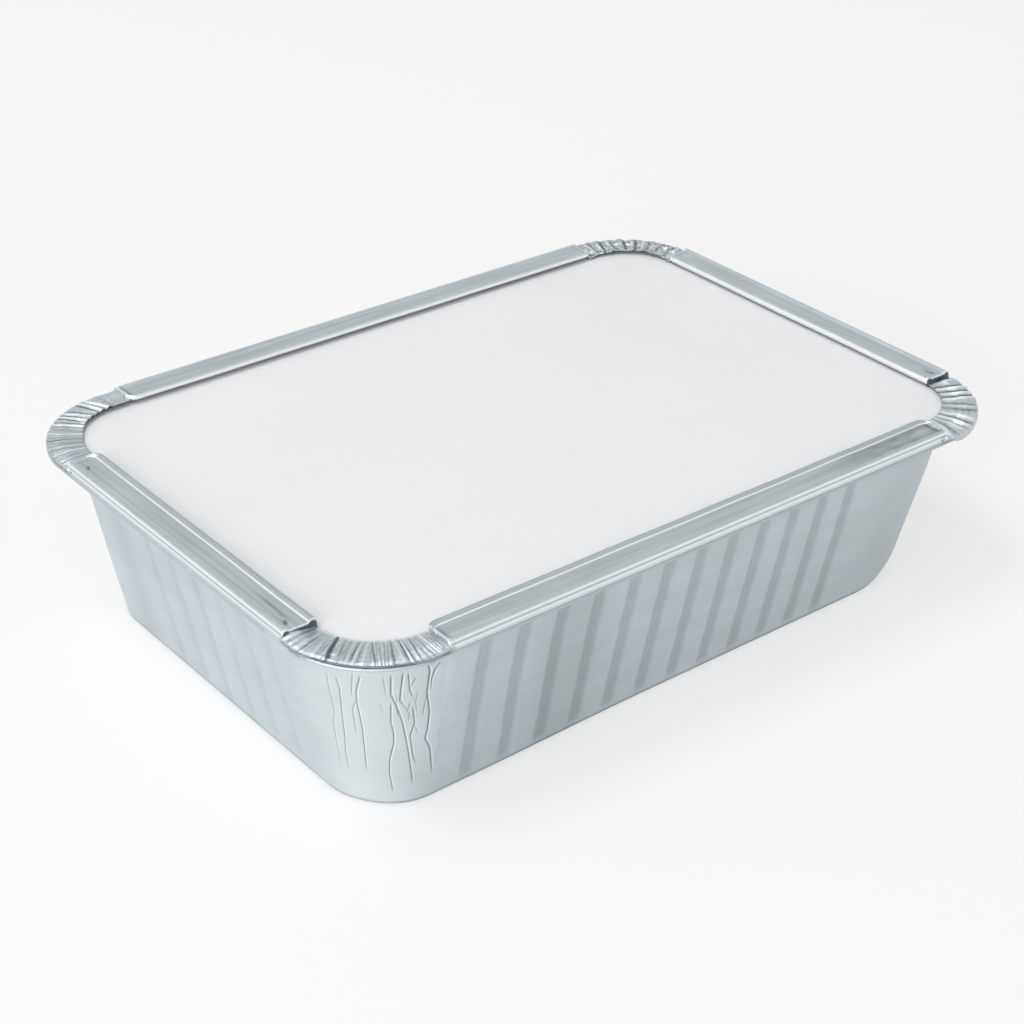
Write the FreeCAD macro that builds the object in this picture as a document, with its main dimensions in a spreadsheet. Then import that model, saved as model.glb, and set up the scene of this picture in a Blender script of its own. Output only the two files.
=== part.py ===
"""Foil food tray with a board lid that is held under the tray's folded rim.

Frame: the origin is the middle of the base's underside, +X runs along the long side,
+Y along the short side and +Z is up. All sizes are in millimetres.
"""
import FreeCAD, Part
import Sketcher
import math
import os

Vector = FreeCAD.Vector
Rotation = FreeCAD.Rotation

# Driving sizes: alias, value, what it measures.
SIZES = [
    ("rim_length", 210.0, "over the rim, along X"),
    ("rim_width", 148.5, "over the rim, along Y"),
    ("rim_corner", 25.0, "corner radius of the rim's outline"),
    ("flange_height", 47.8, "top of the flange above the table"),
    ("flange_width", 4.0, "from the rim's outline to the top of the wall"),
    ("foil_gauge", 0.2, "thickness of the foil"),
    ("wall_lean", 10.4, "how far the base lies inside the top of the wall"),
    ("base_corner", 16.0, "corner radius of the base"),
    ("base_round", 1.2, "round between the base and the wall"),
    ("lip_drop", 0.55, "how far the flange's folded lip hangs below the flange"),
    ("lip_height", 1.1, "height of the folded lip"),
    ("lip_width", 1.1, "width of the folded lip"),
    ("flute_radius", 2.5, "radius of a flute's hollow"),
    ("flute_depth", 0.5, "depth of a flute in the wall"),
    ("flute_foot", 1.2, "height at which a flute starts, just over the base's round"),
    ("flute_taper", 0.15, "how much closer each flute is than the last"),
    ("long_flute_count", 12, "flutes in a long wall"),
    ("long_flute_first", -65.0, "X of the first flute in a long wall"),
    ("long_flute_pitch", 11.2, "first pitch in a long wall"),
    ("short_flute_count", 6, "flutes in a short wall"),
    ("short_flute_first", 19.8, "Y of the first flute in a short wall"),
    ("short_flute_pitch", 10.65, "first pitch in a short wall"),
    ("strip_inset", 0.5, "middle of the strip's upright from the rim's outline"),
    ("strip_rise", 1.75, "straight upright of the strip, from the flange's underside"),
    ("flare_radius", 1.0, "bend where the upright flares outward"),
    ("flare_angle", 20.0, "degrees that the upright flares"),
    ("fold_radius", 0.85, "bend of the strip's outer fold"),
    ("dip_angle", 40.0, "degrees that the strip dips and rises beside its channel"),
    ("dip_radius", 1.0, "bend from the fold down into the channel"),
    ("channel_width", 4.6, "flat of the strip's channel"),
    ("lift_radius", 0.8, "bend from the channel up to the bead"),
    ("bead_radius", 1.05, "radius of the curled bead at the strip's free edge"),
    ("bead_curl", 290.0, "degrees that the bead is curled"),
    ("near_left_run", 26.5, "near long strip's left end, in from the rim's end"),
    ("near_right_run", 26.5, "near long strip's right end, in from the rim's end"),
    ("far_left_run", 29.7, "far long strip's left end, in from the rim's end"),
    ("far_right_run", 25.6, "far long strip's right end, in from the rim's end"),
    ("left_near_run", 25.1, "left short strip's near end, in from the rim's side"),
    ("left_far_run", 29.0, "left short strip's far end, in from the rim's side"),
    ("right_near_run", 23.3, "right short strip's near end, in from the rim's side"),
    ("right_far_run", 23.4, "right short strip's far end, in from the rim's side"),
    ("lid_thickness", 0.6, "thickness of the board"),
    ("lid_seat_gap", 0.05, "between the flange and the board"),
    ("lid_edge_gap", 0.35, "between the board's edge and the folded foil"),
    ("pleat_inset", 0.85, "foot of the pleats from the rim's outline"),
    ("pleat_lid_gap", 0.15, "between the board and the lowest foil over it"),
    ("pleat_width", 9.6, "how far the pleats reach in from the rim's outline"),
    ("pleat_bulge", 0.45, "how far the ridges swell past the rim's outline"),
    ("pleat_height", 1.75, "ridges above the board, at the outside"),
    ("pleat_depth", 0.95, "valleys below the ridges, at the outside"),
    ("pleat_edge_height", 0.75, "ridges above the board, at the inner edge"),
    ("pleat_tuck", 1.6, "how far the pleats run in under a strip's end"),
    ("pleat_end_gap", 0.3, "low foil left between a strip's end and the first pleat"),
    ("near_left_pleats", 16, "pleats in the near left corner"),
    ("far_left_pleats", 11, "pleats in the far left corner"),
    ("near_right_pleats", 9, "pleats in the near right corner"),
    ("far_right_pleats", 11, "pleats in the far right corner"),
]

SHEET_COLUMNS = "ABC"


def new_sheet(doc):
    """Spreadsheet of the driving sizes, one named cell each."""
    sheet = doc.addObject("Spreadsheet::Sheet", "Sheet")
    for row, (alias, value, meaning) in enumerate(SIZES, start=1):
        label_cell, value_cell, note_cell = [column + str(row) for column in SHEET_COLUMNS]
        sheet.set(label_cell, alias)
        sheet.set(value_cell, str(value))
        sheet.set(note_cell, meaning)
        sheet.setAlias(value_cell, alias)
    doc.recompute()
    return sheet


doc = FreeCAD.newDocument("foil_tray_with_lid")
sheet = new_sheet(doc)


def number(expression):
    """Present value of an expression on the sheet."""
    return float(sheet.evalExpression(expression))


def size(alias):
    """Expression for one cell of the sheet."""
    return "Sheet." + alias


# Expressions that several pieces share.
FLANGE_UNDERSIDE = "(Sheet.flange_height - Sheet.foil_gauge)"
WALL_SLOPE = "(Sheet.wall_lean / (Sheet.flange_height - Sheet.foil_gauge))"
WALL_ANGLE = "atan(Sheet.wall_lean / (Sheet.flange_height - Sheet.foil_gauge))"
WALL_FOIL = "(Sheet.foil_gauge / cos(%s))" % WALL_ANGLE
LID_BOTTOM = "(Sheet.flange_height + Sheet.lid_seat_gap)"
LID_TOP = "(Sheet.flange_height + Sheet.lid_seat_gap + Sheet.lid_thickness)"
LID_INSET = "(Sheet.pleat_inset + Sheet.foil_gauge / 2 + Sheet.lid_edge_gap)"
LIP_BOTTOM = "(Sheet.flange_height - Sheet.foil_gauge - Sheet.lip_drop)"
TUCKED_WIDTH = "(Sheet.strip_inset + Sheet.channel_width + Sheet.bead_radius)"


def plane_of(body, role):
    """One of a body's own origin planes."""
    return [feature for feature in body.Origin.OriginFeatures if feature.Role == role][0]


def new_body(name):
    """Empty body."""
    return doc.addObject("PartDesign::Body", name)


def name_constraint(sketch, constraint, name, expression):
    """Add a constraint to a sketch, name it and bind it to an expression."""
    index = sketch.addConstraint(constraint)
    sketch.renameConstraint(index, name)
    sketch.setExpression("Constraints." + name, expression)


def rounded_outline(body, name, length, width, radius, height):
    """Sketch of a rounded rectangle about the body's Z axis; its sizes are expressions."""
    sketch = body.newObject("Sketcher::SketchObject", name)
    sketch.AttachmentSupport = [(plane_of(body, "XY_Plane"), "")]
    sketch.MapMode = "FlatFace"
    sketch.setExpression("AttachmentOffset.Base.z", height)
    half_x, half_y, round_r = number(length) / 2, number(width) / 2, number(radius)
    near_x, near_y = half_x - round_r, half_y - round_r
    quarter = math.pi / 2
    sides = [
        ((-near_x, -half_y), (near_x, -half_y), (near_x, -near_y), 3),
        ((half_x, -near_y), (half_x, near_y), (near_x, near_y), 0),
        ((near_x, half_y), (-near_x, half_y), (-near_x, near_y), 1),
        ((-half_x, near_y), (-half_x, -near_y), (-near_x, -near_y), 2),
    ]
    for start, end, centre, turn in sides:
        sketch.addGeometry(Part.LineSegment(Vector(*start, 0), Vector(*end, 0)))
        circle = Part.Circle(Vector(*centre, 0), Vector(0, 0, 1), round_r)
        sketch.addGeometry(Part.ArcOfCircle(circle, turn * quarter, (turn + 1) * quarter))
    pieces = 2 * len(sides)
    for piece in range(pieces):
        sketch.addConstraint(Sketcher.Constraint("Tangent", piece, 2, (piece + 1) % pieces, 1))
    for line, direction in ((0, "Horizontal"), (4, "Horizontal"), (2, "Vertical"), (6, "Vertical")):
        sketch.addConstraint(Sketcher.Constraint(direction, line))
    for arc in (3, 5, 7):
        sketch.addConstraint(Sketcher.Constraint("Equal", 1, arc))
    sketch.addConstraint(Sketcher.Constraint("Symmetric", 0, 1, 4, 1, -1, 1))
    name_constraint(sketch, Sketcher.Constraint("Radius", 1, round_r), "corner", radius)
    name_constraint(sketch, Sketcher.Constraint("DistanceX", 6, 1, 2, 1, 2 * half_x), "length", length)
    name_constraint(sketch, Sketcher.Constraint("DistanceY", 0, 1, 4, 1, 2 * half_y), "width", width)
    return sketch


def foot_edges(shape, height):
    """Names of the edges that lie flat at a height."""
    names = []
    for index, edge in enumerate(shape.Edges, start=1):
        heights = [vertex.Point.z for vertex in edge.Vertexes]
        if all(abs(z - height) < 1e-4 for z in heights):
            names.append("Edge%d" % index)
    return names


def eased(body, base, name, heights, bevel):
    """Bevel the level edges that lie at the given heights."""
    feature = body.newObject("PartDesign::Chamfer", name)
    edges = [edge for height in heights for edge in foot_edges(base.Shape, height)]
    feature.Base = (base, edges)
    feature.setExpression("Size", bevel)
    body.Tip = feature
    doc.recompute()
    return feature


def wall_block(name, inset, bottom, top, round_radius):
    """Solid inside the leaning walls, moved in by an inset, between two heights.

    The foot's outline is worked out from its height, and the taper carries it up from there. The
    round at the foot is three flats that touch it: a wide bevel, then a bevel on each of its edges.
    """
    body = new_body(name)
    side = "(Sheet.flange_width + Sheet.wall_lean - %s * %s + %s)" % (bottom, WALL_SLOPE, inset)
    corner = "(Sheet.base_corner + %s * %s - %s)" % (bottom, WALL_SLOPE, inset)
    outline = rounded_outline(
        body, name + "_foot", "Sheet.rim_length - 2 * " + side, "Sheet.rim_width - 2 * " + side,
        corner, bottom)
    pad = body.newObject("PartDesign::Pad", name + "_pad")
    pad.Profile = outline
    pad.setExpression("Length", "%s - %s" % (top, bottom))
    pad.setExpression("TaperAngle", WALL_ANGLE)
    doc.recompute()
    half, quarter, eighth = ["tan((90 deg - %s) / %d)" % (WALL_ANGLE, share) for share in (2, 4, 8)]
    wide = "((%s) * (%s - %s))" % (round_radius, half, quarter)
    narrow = "((%s) * (%s - %s))" % (round_radius, quarter, eighth)
    foot = number(bottom)
    bevel = eased(body, pad, name + "_bevel", [foot], wide)
    wall_edge = foot + number("%s * cos(%s)" % (wide, WALL_ANGLE))
    eased(body, bevel, name + "_round", [foot, wall_edge], narrow)
    return body


def rim_plate(name, thickness, bottom):
    """Flat plate with the rim's outline, in a body of its own."""
    body = new_body(name)
    outline = rounded_outline(
        body, name + "_outline", size("rim_length"), size("rim_width"), size("rim_corner"), bottom)
    pad = body.newObject("PartDesign::Pad", name + "_pad")
    pad.Profile = outline
    pad.setExpression("Length", thickness)
    doc.recompute()
    return body


def flute_place(side, way, index):
    """Place of a flute along its wall, as an expression: the pitch shrinks a little each time."""
    steps = index * (index - 1) / 2
    return "(Sheet.%s_flute_first + %d * (%d * Sheet.%s_flute_pitch - %g * Sheet.flute_taper))" % (
        side, way, index, side, steps)


def flute_rod(name, across, along, turn, radius):
    """Rod that lies along a leaning wall and presses one flute into it.

    across is the direction out to the wall and along is the flute's place.
    """
    half = size("rim_length") if across[0] else size("rim_width")
    foot = size("flute_foot")
    reach = "((Sheet.flute_radius - Sheet.flute_depth) / cos(%s))" % WALL_ANGLE
    out = "(%s / 2 - Sheet.flange_width - Sheet.wall_lean + %s * %s + %s)" % (half, foot, WALL_SLOPE, reach)
    rod = doc.addObject("Part::Cylinder", name)
    rod.setExpression("Height", "(%s - %s) / cos(%s)" % (FLANGE_UNDERSIDE, foot, WALL_ANGLE))
    rod.setExpression("Radius", radius)
    here, there = ("x", "y") if across[0] else ("y", "x")
    rod.setExpression("Placement.Base." + here, "%d * %s" % (sum(across), out))
    rod.setExpression("Placement.Base." + there, along)
    rod.setExpression("Placement.Base.z", foot)
    rod.Placement.Rotation = Rotation(Vector(*turn), 1)
    rod.setExpression("Placement.Rotation.Angle", WALL_ANGLE)
    return rod


def all_flutes(name, radius):
    """Every flute's rod, for the outside or the inside of the foil.

    A wall is named by its side and the direction out to it. Its flutes run towards +X on a long
    wall and towards -Y on a short one, and its rods lean about the turn axis.
    """
    walls = [
        ("near", "long", 1, (0, -1), (1, 0, 0)),
        ("far", "long", 1, (0, 1), (-1, 0, 0)),
        ("left", "short", -1, (-1, 0), (0, -1, 0)),
        ("right", "short", -1, (1, 0), (0, 1, 0)),
    ]
    rods = []
    for wall, side, way, across, turn in walls:
        for index in range(int(number(size(side + "_flute_count")))):
            label = "%s_%s_%d" % (name, wall, index)
            rods.append(flute_rod(label, across, flute_place(side, way, index), turn, radius))
    return rods


def fused(name, pieces):
    """Union of several objects."""
    union = doc.addObject("Part::MultiFuse", name)
    union.Shapes = pieces
    return union


def cut(name, base, tool):
    """One object less another."""
    difference = doc.addObject("Part::Cut", name)
    difference.Base = base
    difference.Tool = tool
    return difference


def pressed_foil():
    """Base, fluted walls and flange: an outer form less an inner form one gauge smaller."""
    outside = wall_block("outside", "0", "0", FLANGE_UNDERSIDE, size("base_round"))
    inside = wall_block(
        "inside", WALL_FOIL, size("foil_gauge"), "(Sheet.flange_height + 2 * Sheet.foil_gauge)",
        "Sheet.base_round - Sheet.foil_gauge")
    flange = rim_plate("flange", size("foil_gauge"), FLANGE_UNDERSIDE)
    grooves = fused("grooves", all_flutes("groove", size("flute_radius")))
    ridges = fused("ridges", all_flutes("ridge", "Sheet.flute_radius + Sheet.foil_gauge"))
    fluted_outside = cut("fluted_outside", outside, grooves)
    fluted_inside = cut("fluted_inside", inside, ridges)
    pressed = cut("pressed_foil", fused("outer_form", [fluted_outside, flange]), fluted_inside)
    doc.recompute()
    return pressed


def folded_lip():
    """Lip of foil folded back on itself along the flange's outer edge."""
    body = rim_plate("folded_lip", size("lip_height"), LIP_BOTTOM)
    opening = rounded_outline(
        body, "lip_opening", "Sheet.rim_length - 2 * Sheet.lip_width",
        "Sheet.rim_width - 2 * Sheet.lip_width", "Sheet.rim_corner - Sheet.lip_width", LIP_BOTTOM)
    doc.recompute()
    pocket = body.newObject("PartDesign::Pocket", "lip_pocket")
    pocket.Profile = opening
    pocket.Type = "ThroughAll"
    pocket.Reversed = True
    doc.recompute()
    return body


def add_bend(sketch, place, heading, radius, degrees, side):
    """Arc that turns a path left (side 1) or right (side -1); gives its ends, new place and heading.

    An arc always runs anticlockwise, so a right turn is entered by the arc's end.
    """
    entry = math.radians(heading - side * 90)
    leave = math.radians(heading - side * 90 + side * degrees)
    centre = place - radius * Vector(math.cos(entry), math.sin(entry), 0)
    circle = Part.Circle(centre, Vector(0, 0, 1), radius)
    index = sketch.addGeometry(Part.ArcOfCircle(circle, min(entry, leave), max(entry, leave)))
    end = centre + radius * Vector(math.cos(leave), math.sin(leave), 0)
    entered, left = (1, 2) if side > 0 else (2, 1)
    return index, entered, left, end, heading + side * degrees


def add_run(sketch, place, heading, length):
    """Straight stretch of a path; gives the same values as a bend."""
    step = Vector(math.cos(math.radians(heading)), math.sin(math.radians(heading)), 0)
    end = place + length * step
    index = sketch.addGeometry(Part.LineSegment(place, end))
    return index, 1, 2, end, heading


# The strip's folds, from the hem up, over the board's edge and into the curled bead:
# name, run length or bend radius, degrees turned, and 1 for a left or -1 for a right turn.
LEFT, RIGHT = 1, -1
FOLDS = [
    ("upright", size("strip_rise"), None, "Vertical"),
    ("flare", size("flare_radius"), size("flare_angle"), LEFT),
    ("fold", size("fold_radius"), "(90 + Sheet.flare_angle + Sheet.dip_angle)", RIGHT),
    ("dip", size("dip_radius"), size("dip_angle"), LEFT),
    ("channel", size("channel_width"), None, "Horizontal"),
    ("lift", size("lift_radius"), size("dip_angle"), LEFT),
    ("bead", size("bead_radius"), size("bead_curl"), RIGHT),
]


def fold_path(body, name):
    """Sketch of the middle line of a folded strip: X is the inset from the rim, Y is the height."""
    sketch = body.newObject("Sketcher::SketchObject", name)
    sketch.AttachmentSupport = [(plane_of(body, "YZ_Plane"), "")]
    sketch.MapMode = "FlatFace"
    place = Vector(number(size("strip_inset")), number(FLANGE_UNDERSIDE), 0)
    name_later = [
        (Sketcher.Constraint("DistanceX", -1, 1, 0, 1, place.x), "inset", size("strip_inset")),
        (Sketcher.Constraint("DistanceY", -1, 1, 0, 1, place.y), "foot", FLANGE_UNDERSIDE),
    ]
    heading = 90
    last = None
    for label, length, degrees, way in FOLDS:
        if degrees is None:
            index, entered, left, place, heading = add_run(sketch, place, heading, number(length))
            sketch.addConstraint(Sketcher.Constraint(way, index))
            name_later.append((Sketcher.Constraint("Distance", index, number(length)), label, length))
        else:
            turn = number(degrees)
            index, entered, left, place, heading = add_bend(
                sketch, place, heading, number(length), turn, way)
            name_later.append((Sketcher.Constraint("Radius", index, number(length)), label, length))
            if label != "dip":
                turned = Sketcher.Constraint("Angle", index, math.radians(turn))
                name_later.append((turned, label + "_turn", degrees + " * 1 deg"))
        if last:
            sketch.addConstraint(Sketcher.Constraint("Tangent", last[0], last[1], index, entered))
        last = (index, left)
    for constraint, label, expression in name_later:
        name_constraint(sketch, constraint, label, expression)
    return sketch


def foil_edge(body, name, back, forward, inset, height):
    """Sketch of the foil's edge that is swept along the folds: as long as the strip, one gauge wide."""
    sketch = body.newObject("Sketcher::SketchObject", name)
    sketch.AttachmentSupport = [(plane_of(body, "XY_Plane"), "")]
    sketch.MapMode = "FlatFace"
    sketch.setExpression("AttachmentOffset.Base.z", height)
    low_x, high_x = -number(back), number(forward)
    low_y = number(inset) - number(size("foil_gauge")) / 2
    high_y = low_y + number(size("foil_gauge"))
    corners = [(low_x, low_y), (high_x, low_y), (high_x, high_y), (low_x, high_y)]
    for index, corner in enumerate(corners):
        following = corners[(index + 1) % len(corners)]
        sketch.addGeometry(Part.LineSegment(Vector(*corner, 0), Vector(*following, 0)))
    for index in range(len(corners)):
        sketch.addConstraint(Sketcher.Constraint("Coincident", index, 2, (index + 1) % len(corners), 1))
        direction = "Vertical" if index % 2 else "Horizontal"
        sketch.addConstraint(Sketcher.Constraint(direction, index))
    name_constraint(sketch, Sketcher.Constraint("DistanceX", 0, 1, -1, 1, -low_x), "back", back)
    name_constraint(sketch, Sketcher.Constraint("DistanceX", -1, 1, 0, 2, high_x), "forward", forward)
    low_side = Sketcher.Constraint("DistanceY", -1, 1, 0, 1, low_y)
    name_constraint(sketch, low_side, "inset", inset + " - Sheet.foil_gauge / 2")
    name_constraint(
        sketch, Sketcher.Constraint("DistanceY", 1, 1, 1, 2, high_y - low_y), "gauge", size("foil_gauge"))
    return sketch


def folded_strip(name, quarter_turns, reach, span, back_run, forward_run):
    """Straight strip folded over the board's edge along one side.

    In the strip's own frame +X runs along it and +Y points in over the board. reach is the rim's
    size across the tray there and span its size along the strip; each run is how far an end stays
    in from the end of that span.
    """
    body = new_body(name)
    path = fold_path(body, name + "_path")
    back = "(%s / 2 - %s)" % (span, size(back_run))
    forward = "(%s / 2 - %s)" % (span, size(forward_run))
    edge = foil_edge(body, name + "_edge", back, forward, size("strip_inset"), FLANGE_UNDERSIDE)
    doc.recompute()
    sweep = body.newObject("PartDesign::AdditivePipe", name + "_sweep")
    sweep.Profile = (edge, [""])
    sweep.Spine = (path, [""])
    body.Placement.Rotation = Rotation(Vector(0, 0, 1), 90 * quarter_turns)
    outward_x, outward_y = [(0, -1), (1, 0), (0, 1), (-1, 0)][quarter_turns]
    body.setExpression("Placement.Base.x", "%d * %s / 2" % (outward_x, reach))
    body.setExpression("Placement.Base.y", "%d * %s / 2" % (outward_y, reach))
    doc.recompute()
    return body


def all_strips():
    """The four straight strips."""
    length, width = size("rim_length"), size("rim_width")
    return [
        folded_strip("near_strip", 0, width, length, "near_left_run", "near_right_run"),
        folded_strip("right_strip", 1, length, width, "right_near_run", "right_far_run"),
        folded_strip("far_strip", 2, width, length, "far_right_run", "far_left_run"),
        folded_strip("left_strip", 3, length, width, "left_far_run", "left_near_run"),
    ]


def rim_point(side_x, side_y, travel):
    """Point of the rim's outline at one corner, and the level direction in from it.

    travel is measured along the outline from where the corner's arc meets the short side.
    """
    radius = number(size("rim_corner"))
    middle_x = number(size("rim_length")) / 2 - radius
    middle_y = number(size("rim_width")) / 2 - radius
    arc = radius * math.pi / 2
    along_arc = min(max(travel, 0), arc)
    angle = along_arc / radius
    before, after = min(travel, 0), max(travel - arc, 0)
    x = side_x * (middle_x + radius * math.cos(angle) - after)
    y = side_y * (middle_y + radius * math.sin(angle) + before)
    inward = Vector(-side_x * math.cos(angle), -side_y * math.sin(angle), 0)
    return Vector(x, y, 0), inward


# Shape of a pleat across the rim, as shares of its crest's rise above the board.
SWELL_HEIGHT = 0.42
CREST_INSET = 0.7
# Where the pleat's back bends down to the free edge, as shares of its width and rise.
BACK_REACH = 0.6
BACK_HEIGHT = 0.75


def pleat_profile(ridge, tucked):
    """Middle line of the crushed foil across the rim: (inset, height) from the foot to the free edge.

    ridge is 1 on a pleat's ridge and 0 in its valley; tucked foil lies low, under a strip's end.
    """
    half_gauge = number(size("foil_gauge")) / 2
    foot = number(size("pleat_inset"))
    board = number(LID_TOP)
    floor = board + number(size("pleat_lid_gap")) + half_gauge
    crest = board + number(size("pleat_height")) - (1 - ridge) * number(size("pleat_depth"))
    rise = crest - board
    swell = foot - ridge * (foot + number(size("pleat_bulge")))
    width = number(TUCKED_WIDTH if tucked else size("pleat_width"))
    return [
        (foot, number(size("flange_height")) - half_gauge),
        (foot, board),
        (swell, board + rise * SWELL_HEIGHT),
        (foot + rise * CREST_INSET, crest),
        (foot + (width - foot) * BACK_REACH, floor + (crest - floor) * BACK_HEIGHT),
        (width, floor + ridge * number(size("pleat_edge_height"))),
    ]


def both_skins(profile):
    """Closed outline of a middle line thickened to the foil's gauge."""
    half = number(size("foil_gauge")) / 2
    normals = []
    for (x0, z0), (x1, z1) in zip(profile, profile[1:]):
        length = math.hypot(x1 - x0, z1 - z0)
        normals.append(((z0 - z1) / length, (x1 - x0) / length))
    upper, lower = [], []
    for index, (x, z) in enumerate(profile):
        before = normals[max(index - 1, 0)]
        after = normals[min(index, len(normals) - 1)]
        share = 1 + before[0] * after[0] + before[1] * after[1]
        shift_x = half * (before[0] + after[0]) / share
        shift_z = half * (before[1] + after[1]) / share
        upper.append((x + shift_x, z + shift_z))
        lower.append((x - shift_x, z - shift_z))
    return upper + lower[::-1]


# How uneven the pleats are: each fold wanders by a share of its step, and a ridge stands
# between its lowest share and full height; the two waves keep neighbours from matching.
PLEAT_WANDER = 0.3
WANDER_WAVE = 2.4
LOWEST_RIDGE = 0.56
RIDGE_WAVE = 1.7


def pleat_stations(start, end, tuck, pleats):
    """Places along the rim and what the foil does there: (travel, ridge, tucked)."""
    clear = number(size("pleat_end_gap"))
    first, last = start + tuck + clear, end - tuck - clear
    step = (last - first) / (2 * pleats + 2)
    stations = [(start, 0, True), (first, 0, True)]
    for index in range(1, 2 * pleats + 2):
        wander = PLEAT_WANDER * step * math.sin(WANDER_WAVE * index)
        height = LOWEST_RIDGE + (1 - LOWEST_RIDGE) * (1 + math.sin(RIDGE_WAVE * index)) / 2
        ridge = height if index % 2 == 0 else 0
        stations.append((first + index * step + wander, ridge, False))
    return stations + [(last, 0, True), (end, 0, True)]


def closed_solid(rings):
    """Solid through a row of outlines that have equally many points, closed by a cap at each end."""
    count = len(rings[0])
    triangles = []
    for ring, following in zip(rings, rings[1:]):
        for index in range(count):
            after = (index + 1) % count
            triangles.append((ring[index], following[index], following[after]))
            triangles.append((ring[index], following[after], ring[after]))
    for ring in (rings[0], rings[-1]):
        for index in range(count // 2 - 1):
            opposite = count - 1 - index
            triangles.append((ring[index], ring[index + 1], ring[opposite]))
            triangles.append((ring[index + 1], ring[opposite - 1], ring[opposite]))
    faces = [Part.Face(Part.makePolygon(list(corners) + [corners[0]])) for corners in triangles]
    shell = Part.makeShell(faces)
    shell.sewShape()
    solid = Part.makeSolid(shell)
    if solid.Volume < 0:
        solid.reverse()
    return solid


def pleated_corner(name, side_x, side_y, short_run, long_run, pleats):
    """Band of crushed pleats round one corner of the rim, between two strips."""
    radius = number(size("rim_corner"))
    tuck = number(size("pleat_tuck"))
    start = radius - number(size(short_run)) - tuck
    end = radius * math.pi / 2 + number(size(long_run)) - radius + tuck
    rings = []
    for travel, ridge, tucked in pleat_stations(start, end, tuck, int(number(size(pleats)))):
        point, inward = rim_point(side_x, side_y, travel)
        outline = both_skins(pleat_profile(ridge, tucked))
        rings.append([point + inward * inset + Vector(0, 0, height) for inset, height in outline])
    band = doc.addObject("Part::Feature", name)
    band.Shape = closed_solid(rings)
    return band


def all_pleats():
    """The four pleated corners."""
    return [
        pleated_corner("near_left_corner", -1, -1, "left_near_run", "near_left_run", "near_left_pleats"),
        pleated_corner("far_left_corner", -1, 1, "left_far_run", "far_left_run", "far_left_pleats"),
        pleated_corner("near_right_corner", 1, -1, "right_near_run", "near_right_run", "near_right_pleats"),
        pleated_corner("far_right_corner", 1, 1, "right_far_run", "far_right_run", "far_right_pleats"),
    ]


def foil_tray():
    """The whole folded sheet as one solid."""
    pieces = [pressed_foil(), folded_lip()] + all_strips() + all_pleats()
    tray = fused("foil_tray", pieces)
    tray.Label = "foil_tray"
    doc.recompute()
    return tray


def card_lid():
    """Coated board that lies on the flange, inside the folded foil."""
    body = new_body("card_lid")
    body.Label = "card_lid"
    outline = rounded_outline(
        body, "card_lid_outline", "Sheet.rim_length - 2 * " + LID_INSET,
        "Sheet.rim_width - 2 * " + LID_INSET, "Sheet.rim_corner - " + LID_INSET, LID_BOTTOM)
    pad = body.newObject("PartDesign::Pad", "card_lid_pad")
    pad.Profile = outline
    pad.setExpression("Length", size("lid_thickness"))
    doc.recompute()
    return body


def check(parts):
    """Stop if anything failed to build or a piece isn't one valid solid."""
    for item in doc.Objects:
        if "Invalid" in item.State or "Error" in item.State:
            raise RuntimeError(item.Name + " did not build: " + str(item.State))
    for piece in parts:
        shape = piece.Shape
        if shape.isNull() or not shape.isValid():
            raise RuntimeError(piece.Label + " has no valid shape")
        if len(shape.Solids) != 1:
            raise RuntimeError(piece.Label + " is %d solids, not one" % len(shape.Solids))


parts = [foil_tray(), card_lid()]
doc.recompute()
check(parts)
os.makedirs("parts", exist_ok=True)
for piece in parts:
    piece.Shape.exportStep("parts/" + piece.Label + ".step")
    print(piece.Label, "volume %.0f mm3" % piece.Shape.Volume, "%d faces" % len(piece.Shape.Faces))
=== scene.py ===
import math

import bmesh
import bpy
import numpy as np
from mathutils import Matrix, Vector


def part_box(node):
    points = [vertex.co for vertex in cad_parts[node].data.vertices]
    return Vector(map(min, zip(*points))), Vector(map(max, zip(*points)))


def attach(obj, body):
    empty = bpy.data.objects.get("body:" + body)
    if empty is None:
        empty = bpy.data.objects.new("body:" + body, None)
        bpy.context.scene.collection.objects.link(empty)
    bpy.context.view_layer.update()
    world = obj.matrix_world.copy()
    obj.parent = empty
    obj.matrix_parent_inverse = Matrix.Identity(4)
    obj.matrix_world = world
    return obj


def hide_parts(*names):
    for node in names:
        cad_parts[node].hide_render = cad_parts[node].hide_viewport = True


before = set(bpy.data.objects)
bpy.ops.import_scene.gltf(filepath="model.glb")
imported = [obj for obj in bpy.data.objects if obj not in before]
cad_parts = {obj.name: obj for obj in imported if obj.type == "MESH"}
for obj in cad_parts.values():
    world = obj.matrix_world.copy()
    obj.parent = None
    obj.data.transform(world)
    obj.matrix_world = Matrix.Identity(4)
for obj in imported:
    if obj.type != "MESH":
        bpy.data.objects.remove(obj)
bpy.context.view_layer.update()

# Lengths here are in millimetres in the frame's axes; meshes are made in metres.
MM = 0.001

# Sizes of the tray, the same as the frame's.
RIM_HALF_X = 105.0
RIM_HALF_Y = 74.25
RIM_CORNER = 25.0
FLANGE_WIDTH = 4.0
FLANGE_TOP = 47.8
GAUGE = 0.2
WALL_TOP = FLANGE_TOP - GAUGE
WALL_LEAN = 10.4
BASE_CORNER = 16.0
BASE_ROUND = 1.2
# How much rounder the wall's corners are at the top than a wall of even width would make them.
CORNER_EASE = 5.0
HEM_RADIUS = 0.42
LID_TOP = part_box("card_lid")[1][2] / MM

WALL_ANGLE = math.atan(WALL_LEAN / WALL_TOP)
CENTRE_X = RIM_HALF_X - FLANGE_WIDTH - WALL_LEAN - BASE_CORNER
CENTRE_Y = RIM_HALF_Y - FLANGE_WIDTH - WALL_LEAN - BASE_CORNER
# Length of one of the rim's corners.
RIM_ARC = RIM_CORNER * math.pi / 2

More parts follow.
